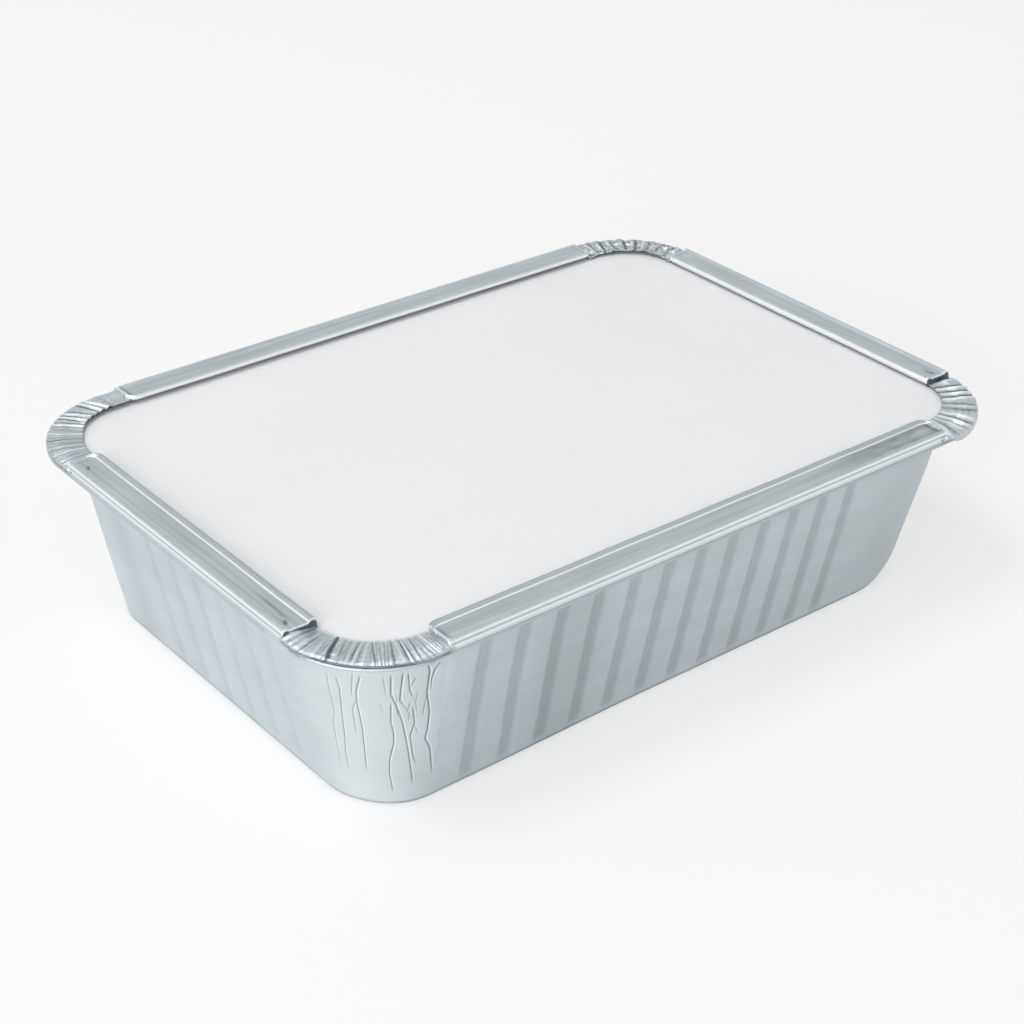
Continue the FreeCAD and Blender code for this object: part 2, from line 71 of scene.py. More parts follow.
# Flutes: first place, first pitch, how much the pitch shrinks each time, and how many.
LONG_FLUTES = (-65.0, 11.2, 0.15, 12)
SHORT_FLUTES = (19.8, 10.65, 0.15, 6)
FLUTE_DEPTH = 0.5
FLUTE_HALF = 2.1
FLUTE_EDGE = 1.5
# How much further a flute reaches on its side away from the near corner, all the way up and, by the
# flare, over its top few millimetres.
FLUTE_WIDER = 0.9
FLUTE_FLARE = 2.2
FLARE_HEIGHTS = (42.0, 48.5)
FLARE_POWER = 1.5
# Heights over which a flute's foot runs out into the plain wall.
FLUTE_FOOT = (0.8, 3.2)

# The four corners, as the signs of X and Y, in order round the rim.
NEAR, RIGHT, FAR, LEFT = (-1, -1), (1, -1), (1, 1), (-1, 1)

# The camera, as fitted to the photograph.
CAMERA_PLACE = np.array([-314.06, -385.76, 310.21])
CAMERA_YAW = math.radians(51.047)
CAMERA_PITCH = math.radians(30.182)
CAMERA_ROLL = math.radians(0.802)
PHOTO_SIZE = 1024
FOCAL_PIXELS = 2201.03
SENSOR = 36.0


def camera_axes():
    """The camera's forward, right and up directions."""
    level = math.cos(CAMERA_PITCH)
    forward = np.array([level * math.cos(CAMERA_YAW), level * math.sin(CAMERA_YAW), -math.sin(CAMERA_PITCH)])
    side = np.array([math.sin(CAMERA_YAW), -math.cos(CAMERA_YAW), 0.0])
    upward = np.cross(side, forward)
    right = math.cos(CAMERA_ROLL) * side + math.sin(CAMERA_ROLL) * upward
    up = -math.sin(CAMERA_ROLL) * side + math.cos(CAMERA_ROLL) * upward
    return forward, right, up


def photo_ray(pixel):
    """Direction from the camera through a pixel of the photograph."""
    forward, right, up = camera_axes()
    across = (pixel[0] - PHOTO_SIZE / 2) / FOCAL_PIXELS
    down = (pixel[1] - PHOTO_SIZE / 2) / FOCAL_PIXELS
    return forward + across * right - down * up


def make_camera():
    """Camera at the photograph's viewing angle."""
    forward, right, up = camera_axes()
    data = bpy.data.cameras.new("camera")
    data.sensor_width = SENSOR
    data.lens = FOCAL_PIXELS * SENSOR / PHOTO_SIZE
    data.clip_start = 0.01
    camera = bpy.data.objects.new("camera", data)
    bpy.context.collection.objects.link(camera)
    place = CAMERA_PLACE * MM
    rows = [[right[i], up[i], -forward[i], place[i]] for i in range(3)] + [[0, 0, 0, 1]]
    camera.matrix_world = Matrix([[float(value) for value in row] for row in rows])
    bpy.context.scene.camera = camera


make_camera()


# Small helpers for shapes.

# A swell is a sum of this many waves, each of a length between two shares of the scale asked for.
WAVE_COUNT = 6
WAVE_SPAN = (0.7, 1.6)
WAVE_SIZE = 3.5


def smooth_step(value, low, high):
    """0 below low, 1 above high, and a smooth rise between."""
    share = np.clip((np.asarray(value, float) - low) / (high - low), 0.0, 1.0)
    return share * share * (3 - 2 * share)


def bump(value, half_width):
    """1 in the middle, falling smoothly to 0 at the half width."""
    share = np.clip(np.abs(np.asarray(value, float)) / half_width, 0.0, 1.0)
    return 0.5 + 0.5 * np.cos(math.pi * share)


def waves(x, y, scale, seed):
    """Smooth uneven swell between about -1 and 1, repeating only over long distances."""
    rng = np.random.default_rng(seed)
    total = 0.0
    for _ in range(WAVE_COUNT):
        heading = rng.uniform(0, 2 * math.pi)
        length = scale * rng.uniform(*WAVE_SPAN)
        phase = rng.uniform(0, 2 * math.pi)
        total = total + np.sin(2 * math.pi * (x * math.cos(heading) + y * math.sin(heading)) / length + phase)
    return total / WAVE_SIZE


def grid_faces(rows, columns):
    """Quads between rows of points that are each closed in a ring; points are numbered row by row."""
    faces = []
    for row in range(rows - 1):
        for column in range(columns):
            after = (column + 1) % columns
            faces.append((
                row * columns + column, row * columns + after,
                (row + 1) * columns + after, (row + 1) * columns + column))
    return faces


def end_faces(start, ring_size):
    """Quads that close one end of a bar whose ring runs out along its top and back along its underside."""
    faces = []
    for index in range(ring_size // 2 - 1):
        opposite = ring_size - 1 - index
        faces.append((start + index, start + index + 1, start + opposite - 1, start + opposite))
    return faces


def bar_faces(rings, ring_size):
    """Faces of a bar made of rings of points, closed at both ends."""
    ends = end_faces(0, ring_size) + end_faces((rings - 1) * ring_size, ring_size)
    return grid_faces(rings, ring_size) + ends


def make_piece(name, points, faces, tone, material):
    """Piece of the tray from points in millimetres, with a tone at each point, mostly painted light and
    shade, on the tray's body.
    """
    mesh = bpy.data.meshes.new(name)
    mesh.from_pydata((np.asarray(points, float) * MM).tolist(), [], faces)
    mesh.polygons.foreach_set("use_smooth", [True] * len(mesh.polygons))
    shade = mesh.attributes.new("tone", "FLOAT", "POINT")
    shade.data.foreach_set("value", np.asarray(tone, dtype=np.float32).ravel())
    shaped = bmesh.new()
    shaped.from_mesh(mesh)
    bmesh.ops.recalc_face_normals(shaped, faces=shaped.faces)
    shaped.to_mesh(mesh)
    shaped.free()
    mesh.materials.append(material)
    piece = bpy.data.objects.new(name, mesh)
    bpy.context.collection.objects.link(piece)
    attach(piece, "root")
    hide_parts("foil_tray")


# Materials.

def node(tree, kind, **inputs):
    """New shader node with some of its inputs set."""
    made = tree.nodes.new(kind)
    for key, value in inputs.items():
        made.inputs[key.replace("_", " ")].default_value = value
    return made


def new_material(name):
    """New material, its tree and its principled shader."""
    material = bpy.data.materials.new(name)
    material.use_nodes = True
    tree = material.node_tree
    return material, tree, tree.nodes["Principled BSDF"]


def colour_mix(tree, factor, base, other):
    """Mix a linked colour towards a fixed one; gives the mixed colour."""
    mix = tree.nodes.new("ShaderNodeMix")
    mix.data_type = "RGBA"
    first, second = [socket for socket in mix.inputs if socket.type == "RGBA"]
    tree.links.new(factor, mix.inputs["Factor"])
    tree.links.new(base, first)
    second.default_value = other
    return [socket for socket in mix.outputs if socket.type == "RGBA"][0]


def noise(tree, place, scale, detail, roughness):
    """Noise over a linked place."""
    made = node(tree, "ShaderNodeTexNoise", Scale=scale, Detail=detail, Roughness=roughness)
    tree.links.new(place, made.inputs["Vector"])
    return made.outputs["Fac"]


def blend(tree, first, second, factor):
    """Mix of two linked values."""
    mix = node(tree, "ShaderNodeMix", Factor=factor)
    tree.links.new(first, mix.inputs["A"])
    tree.links.new(second, mix.inputs["B"])
    return mix.outputs["Result"]


def ranged(tree, value, old, new):
    """A linked value moved from one range to another, and kept inside that."""
    made = node(tree, "ShaderNodeMapRange", From_Min=old[0], From_Max=old[1], To_Min=new[0], To_Max=new[1])
    tree.links.new(value, made.inputs["Value"])
    return made.outputs["Result"]


def add_relief(tree, shader, height, strength, distance):
    """Give a shader a fine relief from a linked height."""
    relief = node(tree, "ShaderNodeBump", Strength=strength, Distance=distance)
    tree.links.new(height, relief.inputs["Height"])
    tree.links.new(relief.outputs["Normal"], shader.inputs["Normal"])


FOIL_COLOUR = (0.59, 0.64, 0.67, 1)
# Colours the tone mixes the foil towards: painted shade and painted highlights.
FOIL_DARK = (0.10, 0.125, 0.14, 1)
FOIL_BRIGHT = (0.97, 0.98, 0.985, 1)
BOARD_COLOURS = [(0.845, 0.85, 0.855, 1), (0.875, 0.88, 0.885, 1)]
# The part of the noise that counts, how far the mottling moves the foil's lightness, and how far its
# roughness to each side.
NOISE_RANGE = (0.3, 0.7)
FOIL_LIGHTNESS = (0.93, 1.06)
ROUGHNESS_SPREAD = 0.05
FOIL_RELIEF = (0.12, 0.0002)
BOARD_RELIEF = (0.15, 0.0001)
BOARD_ROUGHNESS = 0.55


def foil_material(name, streaks, roughness):
    """Rolled foil: satin metal with faint mottling and drawing streaks, darkened by painted shade and
    brightened by painted highlights from its tone.
    """
    material, tree, shader = new_material(name)
    place = node(tree, "ShaderNodeTexCoord").outputs["Object"]
    stretch = node(tree, "ShaderNodeMapping", Scale=streaks)
    tree.links.new(place, stretch.inputs["Vector"])
    mottle = noise(tree, place, 60.0, 4.0, 0.55)
    streak = noise(tree, stretch.outputs["Vector"], 1.0, 3.0, 0.5)
    uneven = blend(tree, mottle, streak, 0.5)
    tint = node(tree, "ShaderNodeVectorMath")
    tint.operation = "SCALE"
    tint.inputs[0].default_value = FOIL_COLOUR[:3]
    tree.links.new(ranged(tree, uneven, NOISE_RANGE, FOIL_LIGHTNESS), tint.inputs["Scale"])

    # The tone: painted shade below 0, painted highlights above 0, with some random mottle.
    tone = node(tree, "ShaderNodeAttribute")
    tone.attribute_name = "tone"
    darken = ranged(tree, tone.outputs["Fac"], (0.0, -1.0), (0.0, 1.0))
    brighten = ranged(tree, tone.outputs["Fac"], (0.0, 1.0), (0.0, 1.0))
    darker = colour_mix(tree, darken, tint.outputs["Vector"], FOIL_DARK)
    tree.links.new(colour_mix(tree, brighten, darker, FOIL_BRIGHT), shader.inputs["Base Color"])

    spread = (roughness - ROUGHNESS_SPREAD, roughness + ROUGHNESS_SPREAD)
    tree.links.new(ranged(tree, uneven, NOISE_RANGE, spread), shader.inputs["Roughness"])
    add_relief(tree, shader, uneven, *FOIL_RELIEF)
    shader.inputs["Metallic"].default_value = 1.0
    return material


def board_material():
    """Coated white board with a very faint grain."""
    material, tree, shader = new_material("board")
    place = node(tree, "ShaderNodeTexCoord").outputs["Object"]
    fibre = noise(tree, place, 420.0, 5.0, 0.6)
    cloud = noise(tree, place, 22.0, 2.0, 0.5)
    ramp = node(tree, "ShaderNodeValToRGB")
    for element, position, colour in zip(ramp.color_ramp.elements, NOISE_RANGE, BOARD_COLOURS):
        element.position = position
        element.color = colour
    tree.links.new(blend(tree, fibre, cloud, 0.6), ramp.inputs["Fac"])
    tree.links.new(ramp.outputs["Color"], shader.inputs["Base Color"])
    add_relief(tree, shader, fibre, *BOARD_RELIEF)
    shader.inputs["Roughness"].default_value = BOARD_ROUGHNESS
    return material


# Streaks run round the walls and along each strip: fine across, long along.
WALL_STREAKS = (60.0, 60.0, 240.0)
ALONG_X = (12.0, 900.0, 900.0)
ALONG_Y = (900.0, 12.0, 900.0)
CRUSHED_STREAKS = (260.0, 260.0, 260.0)
WALL_ROUGHNESS = 0.58
STRIP_ROUGHNESS = 0.42
CRUSHED_ROUGHNESS = 0.48
foil_wall = foil_material("foil_wall", WALL_STREAKS, WALL_ROUGHNESS)
foil_long = foil_material("foil_long_strip", ALONG_X, STRIP_ROUGHNESS)
foil_short = foil_material("foil_short_strip", ALONG_Y, STRIP_ROUGHNESS)
foil_crushed = foil_material("foil_crushed", CRUSHED_STREAKS, CRUSHED_ROUGHNESS)
board = board_material()


# Creases in the near corner's wall, each a line of points in the photograph's pixels, how deep it
# is pressed (0 to 1), and how wide it is in millimetres.
CREASES = [
    ([(335, 675), (339.5, 688), (341.7, 711.4), (344.5, 734.9), (345.6, 751.6), (350, 772.8)], 0.55, 0.17),
    ([(326.3, 670.4), (328.7, 686.9), (334.5, 711.4), (333.3, 722.6), (336.7, 742.7),
      (342.3, 768.3)], 0.35, 0.16),
    ([(352.3, 672.4), (351.2, 698)], 0.45, 0.15),
    ([(360.1, 674.6), (355.9, 692.5), (356.8, 702.5), (362.4, 729.3), (367.4, 773.9)], 0.75, 0.17),
    ([(355.9, 700.3), (352.3, 709.2), (356.8, 737.1)], 0.5, 0.15),
    ([(383, 676.8), (385.8, 698)], 0.4, 0.15),
    ([(390.8, 674.6), (390.8, 694.7), (398.1, 710.3), (402.5, 722.6), (407, 746), (411.5, 784)], 0.85, 0.18),
    ([(390.8, 702.5), (390.8, 722.6), (393.6, 732.6), (393.6, 742.7), (389.7, 758.3), (389.2, 770.6),
      (393.6, 794)], 0.75, 0.18),
    ([(403.1, 672.4), (399.8, 700.3), (405.9, 708.1)], 0.9, 0.18),
    ([(408.1, 672.4), (409.8, 690.2), (413.7, 699.2)], 0.75, 0.17),
    ([(415.9, 678), (410.4, 688)], 0.5, 0.15),
    ([(410.4, 702.5), (407, 711.4)], 0.5, 0.15),
    ([(412.6, 705.8), (414.3, 722.6), (409.8, 734.9), (412, 753.8), (415.9, 763.9)], 0.7, 0.17),
    ([(428.2, 662.3), (429.9, 671.3), (427.1, 692.5), (429.3, 711.4), (426.5, 729.3), (424, 737),
      (428.2, 745), (429.3, 771.7)], 0.9, 0.19),
    ([(427.1, 694.7), (423.8, 707)], 0.4, 0.15),
    ([(437.1, 665.7), (431.6, 679.1), (430.5, 692.5)], 0.55, 0.17),
    ([(441.5, 661), (434.5, 671), (431.5, 681)], 0.5, 0.16),
    ([(396.5, 697), (397.2, 711), (399, 720)], 0.4, 0.15),
    ([(403.5, 705), (409.5, 714), (408, 722)], 0.45, 0.15),
    ([(418.5, 690), (415.5, 702), (417, 714)], 0.35, 0.15),
    ([(424.5, 705), (422, 716)], 0.45, 0.15),
    ([(414, 724), (418, 733)], 0.4, 0.15),
    ([(380, 704), (384, 714)], 0.3, 0.15),
]


# Length round a corner of the wall, at its top, that every height is measured by.
CORNER_ARC = (BASE_CORNER + WALL_LEAN) * math.pi / 2
# A crease that starts over this height starts at the hem, and its end fades over a length.
CREASE_TOP = 44.0
CREASE_FADE = 4.0
CREASE_FADE_SHARE = 0.3
CREASE_SPREAD = 1.25
# A crease is a groove with a raised lip on one side. Each has a depth and a tone: painted shade along the
# groove and a painted highlight along the lip. The lip and the two lines of tone lie and reach as far as
# these shares of the crease's width.
GROOVE = 0.09
GROOVE_TONE = 1.75
LIP = 0.05
LIP_TONE = 0.7
LIP_PLACE = 2.0
LIP_REACH = 1.2
LIP_TONE_PLACE = 1.9
TONE_REACH = 0.8
CREASE_TONES = (-0.85, 0.6)
# The wall lies between these distances from the camera, and is found by this many halvings.
SIGHT_RANGE = (300.0, 700.0)
HALVINGS = 40
FAR_AWAY = 1000.0


def wall_radius(height):
    """How far the wall's straight sides stand off the centre rectangle, at a height."""
    return BASE_CORNER + WALL_LEAN * height / WALL_TOP


def corner_ease(height):
    """How much more than that the corners' radius is, at a height."""
    return CORNER_EASE * height / WALL_TOP


def on_near_wall(pixel):
    """Where a pixel of the photograph falls on the near corner's wall: (length round the corner, height)."""
    ray = photo_ray(pixel)
    low, high = SIGHT_RANGE
    for _ in range(HALVINGS):
        middle = (low + high) / 2
        point = CAMERA_PLACE + middle * ray
        height = max(point[2], 0.0)
        ease = corner_ease(height)
        centre = np.array([ease - CENTRE_X, ease - CENTRE_Y])
        offset = np.minimum(point[:2] - centre, 0.0)
        if np.hypot(*offset) > wall_radius(height) + ease:
            low = middle
        else:
            high = middle
    tuck = ease / (wall_radius(height) + ease)
    share = (math.atan2(-offset[1], -offset[0]) - tuck) / (math.pi / 2 - 2 * tuck)
    return share * CORNER_ARC, float(height)


def crease_lines():
    """Every crease as points on the wall, with its depth and width."""
    lines = []
    for pixels, depth, width in CREASES:
        line = [on_near_wall(pixel) for pixel in pixels]
        if line[0][1] > CREASE_TOP:
            line.insert(0, (line[0][0], WALL_TOP))
        lines.append((line, depth, width))
    return lines


def beside_line(line, arc, height):
    """Signed distance from a crease, length travelled along it to there, and its whole length."""
    nearest = np.full_like(arc, FAR_AWAY)
    side = np.zeros_like(arc)
    travelled = np.zeros_like(arc)
    before = 0.0
    for (a0, z0), (a1, z1) in zip(line, line[1:]):
        run = np.array([a1 - a0, z1 - z0])
        length = float(np.hypot(*run))
        share = np.clip(((arc - a0) * run[0] + (height - z0) * run[1]) / length ** 2, 0, 1)
        away = np.hypot(arc - a0 - share * run[0], height - z0 - share * run[1])
        closer = away < nearest
        nearest = np.where(closer, away, nearest)
        side = np.where(closer, np.sign((arc - a0) * -run[1] + (height - z0) * run[0]), side)
        travelled = np.where(closer, before + share * length, travelled)
        before += length
    return nearest * side, travelled, before


def crease_press(arc, height):
    """How far the creases move the near wall out, and their painted shade and highlight, at arrays of places
    on it.
    """
    push = np.zeros_like(arc)
    tone = np.zeros_like(arc)
    for line, depth, width in crease_lines():
        signed, travelled, length = beside_line(line, arc, height)
        tail = min(CREASE_FADE, CREASE_FADE_SHARE * length)
        fade = depth * (1 - smooth_step(travelled, length - tail, length))
        if line[0][1] < WALL_TOP:
            fade = fade * smooth_step(travelled, 0.0, tail / 3)
        width = width * CREASE_SPREAD
        push -= GROOVE * fade * np.exp(-(signed / width) ** 2)
        push += LIP * fade * np.exp(-((signed - LIP_PLACE * width) / (LIP_REACH * width)) ** 2)
        tone -= GROOVE_TONE * fade * np.exp(-(signed / (TONE_REACH * width)) ** 2)
        tone += LIP_TONE * fade * np.exp(-((signed - LIP_TONE_PLACE * width) / (TONE_REACH * width)) ** 2)
    return push, np.clip(tone, *CREASE_TONES)


def flute_places(flutes, way):
    """Places of the flutes along a wall."""
    first, pitch, taper, count = flutes
    return [first + way * (pitch * k - taper * k * (k - 1) / 2) for k in range(count)]


# The way along X or Y that each kind of wall's flutes are counted in, and their places.
LONG_WAY, SHORT_WAY = 1, -1
LONG_PLACES = flute_places(LONG_FLUTES, LONG_WAY)
SHORT_PLACES = flute_places(SHORT_FLUTES, SHORT_WAY)


def flute_press(along, height, places, way):
    """How far the flutes press a wall in, between 0 and 1, at arrays of places along it."""
    press = np.zeros_like(along)
    foot = smooth_step(height, *FLUTE_FOOT)
    spread = FLUTE_FLARE * smooth_step(height, *FLARE_HEIGHTS) ** FLARE_POWER
    for place in places:
        offset = (along - place) * way
        half = np.where(offset > 0, FLUTE_HALF + FLUTE_WIDER + spread, FLUTE_HALF)
        press = np.maximum(press, smooth_step(half - np.abs(offset), 0.0, FLUTE_EDGE))
    return press * foot


def side_columns(low, high, places, fine, coarse):
    """Places of mesh columns along a straight wall: fine at the flutes' edges, coarse on the panels."""
    marks = {low, high}
    for place in places:
        for step in fine:
            if low < place + step < high:
                marks.add(round(place + step, 4))
    marks = sorted(marks)
    columns = []
    for here, there in zip(marks, marks[1:]):
        parts = max(1, int(math.ceil((there - here) / coarse)))
        columns += [here + (there - here) * part / parts for part in range(parts)]
    return columns


# Broad, soft bands of painted shade: wall, place along it, half width and strength.
SOFT_BANDS = [("near", -38.0, 16.0, 0.12), ("near", 72.0, 14.0, 0.06), ("left", 34.0, 8.0, 0.10)]
# Painted shade: how much darker the near long wall is painted at its foot and at its top, and where along it
# that sets in.
NEAR_SHADE = (0.17, 0.04)
NEAR_SHADE_RUN = (-3.0, 24.0)
# Painted shade: how much darker each wall's flutes are painted than their panels.
FLUTE_SHADE = {"near": 0.2, "right": 0.12, "far": 0.2, "left": 0.07}
# A slow swell of the walls: its size, the length of its waves, and the heights over which it sets in.
SWELL = 0.14
SWELL_LENGTH = 46.0
SWELL_HEIGHTS = (2.0, 12.0)
SWELL_SEED = 5

# Mesh columns: steps about a flute's middle, counts round the corners, and the widest gap on a panel.
FLUTE_STEPS = (-2.4, -1.75, -1.3, -0.85, -0.4, 0.4, 1.2, 1.75, 2.2, 2.65, 3.3, 4.2)
NEAR_CORNER_COLUMNS = 300
CORNER_COLUMNS = 26
PANEL_STEP = 2.6

# The base's edge: how far it stands out beside the near corner, over what length of the near wall and
# what shares of the corner's turn, and how much rounder the right corner is: along the wall's lower
# part, and again at its foot.
NEAR_BULGE = 1.1
BULGE_LENGTH = 70.0
BULGE_TURN = (0.3, 0.9)
RIGHT_ROUND = 3.7
RIGHT_FOOT_ROUND = 5.0
RIGHT_FOOT = 8.0
FACING = {"near": -90.0, "right": 0.0, "far": 90.0, "left": 180.0}
# Painted sheen, standing in for light from the front left: how much brighter the near corner's foil is
# painted, about where in its turn, and how far that reaches; and the same for the left wall's end beside it.
CORNER_GLEAM = 0.26
GLEAM_TURN = 0.4
GLEAM_REACH = 0.75
LEFT_GLEAM = 0.3


def tub_columns():
    """The tub's mesh columns, anticlockwise from the near wall's left end.

    Each is (x, y, angle of the outward direction, corner share or None, wall side), with x and y on
    the centre rectangle and all corners round its own.
    """
    made = []
    flipped = tuple(sorted(-step for step in FLUTE_STEPS))
    straights = [
        ("near", side_columns(-CENTRE_X, CENTRE_X, LONG_PLACES, FLUTE_STEPS, PANEL_STEP)),
        ("right", side_columns(-CENTRE_Y, CENTRE_Y, SHORT_PLACES, flipped, PANEL_STEP)),
        ("far", side_columns(-CENTRE_X, CENTRE_X, LONG_PLACES, FLUTE_STEPS, PANEL_STEP)[1:] + [CENTRE_X]),
        ("left", side_columns(-CENTRE_Y, CENTRE_Y, SHORT_PLACES, flipped, PANEL_STEP)[1:] + [CENTRE_Y]),
    ]
    corner_after = {"near": RIGHT, "right": FAR, "far": LEFT, "left": NEAR}
    for side, places in straights:
        if side in ("far", "left"):
            places = places[::-1]
        for place in places:
            x = place if side in ("near", "far") else CENTRE_X * (1 if side == "right" else -1)
            y = place if side in ("left", "right") else CENTRE_Y * (1 if side == "far" else -1)
            made.append((x, y, FACING[side], None, side))
        corner = corner_after[side]
        count = NEAR_CORNER_COLUMNS if corner == NEAR else CORNER_COLUMNS
        for step in range(count):
            share = step / count
            made.append((corner[0] * CENTRE_X, corner[1] * CENTRE_Y, FACING[side] + 90 * share, share, side))
    return made


# The columns, and arrays of where each is, its share of a corner's turn, its wall and its kind.
columns = tub_columns()
column_x = np.array([column[0] for column in columns])
column_y = np.array([column[1] for column in columns])
column_share = np.array([0.0 if column[3] is None else column[3] for column in columns])
column_side = np.array([column[4] for column in columns])
is_straight = np.array([column[3] is None for column in columns])
is_near = ~is_straight & (column_x < 0) & (column_y < 0)
by_right = (column_x > 0) & (column_y < 0)


def low_part(height):
    """1 at the base and 0 from four fifths of the wall's height up."""
    return float(1 - smooth_step(height, 0.0, 0.8 * WALL_TOP))


def wall_line(height):
    """Points of the wall's outline at a height and the level directions out there, for all columns."""
    facing = np.radians([FACING[side] for side in column_side])
    anchor = np.stack([column_x, column_y], axis=1)
    rounder = RIGHT_ROUND * low_part(height) + RIGHT_FOOT_ROUND * max(0.0, 1 - height / RIGHT_FOOT) ** 2
    ease = corner_ease(height) + rounder * by_right
    radius = wall_radius(height) + ease
    out = np.stack([np.cos(facing), np.sin(facing)], axis=1)
    tangent = np.stack([-out[:, 1], out[:, 0]], axis=1)
    along = np.sum(anchor * tangent, axis=1)
    reach = np.sum(anchor * out, axis=1) - ease
    limit = np.abs(tangent[:, 0]) * CENTRE_X + np.abs(tangent[:, 1]) * CENTRE_Y - ease
    straight = np.clip(along, -limit, limit)
    bend = (along - straight) / radius + column_share * (math.pi / 2 - 2 * ease / radius)
    outward = np.cos(bend)[:, None] * out + np.sin(bend)[:, None] * tangent
    return out * reach[:, None] + tangent * straight[:, None] + radius[:, None] * outward, outward


def rim_at(column):
    """Point of the rim's outline that a column meets, and the level direction out there."""
    x, y, angle, share, side = column
    if share is None:
        outward = np.array([math.cos(math.radians(angle)), math.sin(math.radians(angle))])
        reach = RIM_HALF_X - CENTRE_X if side in ("left", "right") else RIM_HALF_Y - CENTRE_Y
        return np.array([x, y]) + reach * outward, outward
    start_angle = math.radians(angle - 90 * share)
    start = np.array([math.cos(start_angle), math.sin(start_angle)])
    turn = np.array([-start[1], start[0]])
    beyond = [RIM_HALF_X - RIM_CORNER - CENTRE_X, RIM_HALF_Y - RIM_CORNER - CENTRE_Y]
    lead = abs(float(np.dot(turn, beyond)))
    trail = abs(float(np.dot(start, beyond)))
    middle = np.array([np.sign(x) * (RIM_HALF_X - RIM_CORNER), np.sign(y) * (RIM_HALF_Y - RIM_CORNER)])
    travel = share * (lead + RIM_ARC + trail)
    bend = min(max(travel - lead, 0), RIM_ARC) / RIM_CORNER
    outward = math.cos(bend) * start + math.sin(bend) * turn
    point = middle + RIM_CORNER * outward
    point = point - turn * max(lead - travel, 0) - start * max(travel - lead - RIM_ARC, 0)
    return point, outward


# Rows of the wall: those of its straight part and of the round at its foot, the rows of the flat base
# by how far in they lie, and the height under which a row counts as flat.
WALL_ROWS = 70
ROUND_ROWS = 8
BASE_INSETS = (2.0, 0.7)
BASE_FLAT = 0.01
# The inner skin: its rows' heights, its gap to the outer one, and the base's inside as (inset, height).
INNER_HEIGHTS = (47.0, 42.0, 34.0, 25.0, 16.0, 8.0, 3.6)
INNER_GAP = 0.42
INNER_BASE = ((-1.6, 1.3), (0.0, GAUGE), (2.0, GAUGE))
# The hem: rows round it, the degrees it starts at and turns, the flats beside it under and over the
# flange, how far in the flange's rows reach, and its tone, a painted shade.
HEM_ROWS = 11
HEM_START = -20
HEM_TURN = -250
HEM_FLATS = (0.4, 0.6)
FLANGE_REACH = FLANGE_WIDTH * 0.7
HEM_TONE = -0.18
HEM_TONE_CORNER = -0.1
# Painted contact shadow: how much darker the wall's lowest millimetre is painted, and the heights over which
# that ends.
FOOT_LINE = 0.75
FOOT_LINE_HEIGHTS = (0.45, 1.3)


def tub_rows():
    """Rows of the wall's outer skin, (step out from the wall's outline, height), up to the flange."""
    base_radius = BASE_CORNER - BASE_ROUND * math.tan((math.pi / 2 - WALL_ANGLE) / 2)
    rows = [(base_radius - inset - BASE_CORNER, 0.0) for inset in BASE_INSETS]
    for step in range(ROUND_ROWS):
        bend = -math.pi / 2 + (math.pi / 2 - WALL_ANGLE) * step / (ROUND_ROWS - 1)
        height = BASE_ROUND + BASE_ROUND * math.sin(bend)
        rows.append((base_radius + BASE_ROUND * math.cos(bend) - wall_radius(height), height))
    start = rows[-1][1]
    for step in range(1, WALL_ROWS + 1):
        rows.append((0.0, start + (WALL_TOP - start) * step / WALL_ROWS))
    return rows


def hem_rows():
    """The flange and hem as (inset from the rim, height), from the wall's top round to the lid's seat."""
    rows = [(FLANGE_REACH, WALL_TOP), (2 * HEM_RADIUS + HEM_FLATS[0], WALL_TOP)]
    for step in range(HEM_ROWS):
        bend = math.radians(HEM_START + HEM_TURN * step / (HEM_ROWS - 1))
        inset = HEM_RADIUS - HEM_RADIUS * math.cos(bend + math.pi)
        rows.append((inset, WALL_TOP + HEM_RADIUS * math.sin(bend)))
    return rows + [(2 * HEM_RADIUS + HEM_FLATS[1], FLANGE_TOP), (FLANGE_REACH, FLANGE_TOP)]


def settled(height):
    """How far the wall stands out beside the near corner, for all columns."""
    by_near = np.where(
        column_side == "near", bump(column_x + CENTRE_X, BULGE_LENGTH),
        smooth_step(column_share, *BULGE_TURN) * is_near)
    return low_part(height) * NEAR_BULGE * by_near


def flute_shape(height):
    """Outward push and painted shade of the flutes at one height, for all columns."""
    push = np.zeros(len(columns))
    tone = np.zeros(len(columns))
    for side, shade in FLUTE_SHADE.items():
        here = is_straight & (column_side == side)
        if side in ("near", "far"):
            press = flute_press(column_x[here], height, LONG_PLACES, LONG_WAY)
        else:
            press = flute_press(column_y[here], height, SHORT_PLACES, SHORT_WAY)
        push[here] -= FLUTE_DEPTH * press
        tone[here] -= shade * press
    return push, tone


def shade_wall(tone, height):
    """Add the wall's painted shade and painted sheen at one height to its tone."""
    tone -= FOOT_LINE * (1 - smooth_step(height, *FOOT_LINE_HEIGHTS))
    front = column_side == "near"
    shade = NEAR_SHADE[0] + (NEAR_SHADE[1] - NEAR_SHADE[0]) * height / WALL_TOP
    tone[front] -= smooth_step(column_x[front] + CENTRE_X, *NEAR_SHADE_RUN) * shade
    by_left = np.where(column_side == "left", smooth_step(-column_y, 0.0, CENTRE_Y), 0.0)
    entry = by_left * is_straight * LEFT_GLEAM
    tone += CORNER_GLEAM * np.where(is_near, bump(column_share - GLEAM_TURN, GLEAM_REACH), entry)
    for side, place, half, strength in SOFT_BANDS:
        here = column_side == side
        along = column_y if side == "left" else column_x
        tone[here] -= strength * bump(along[here] - place, half)


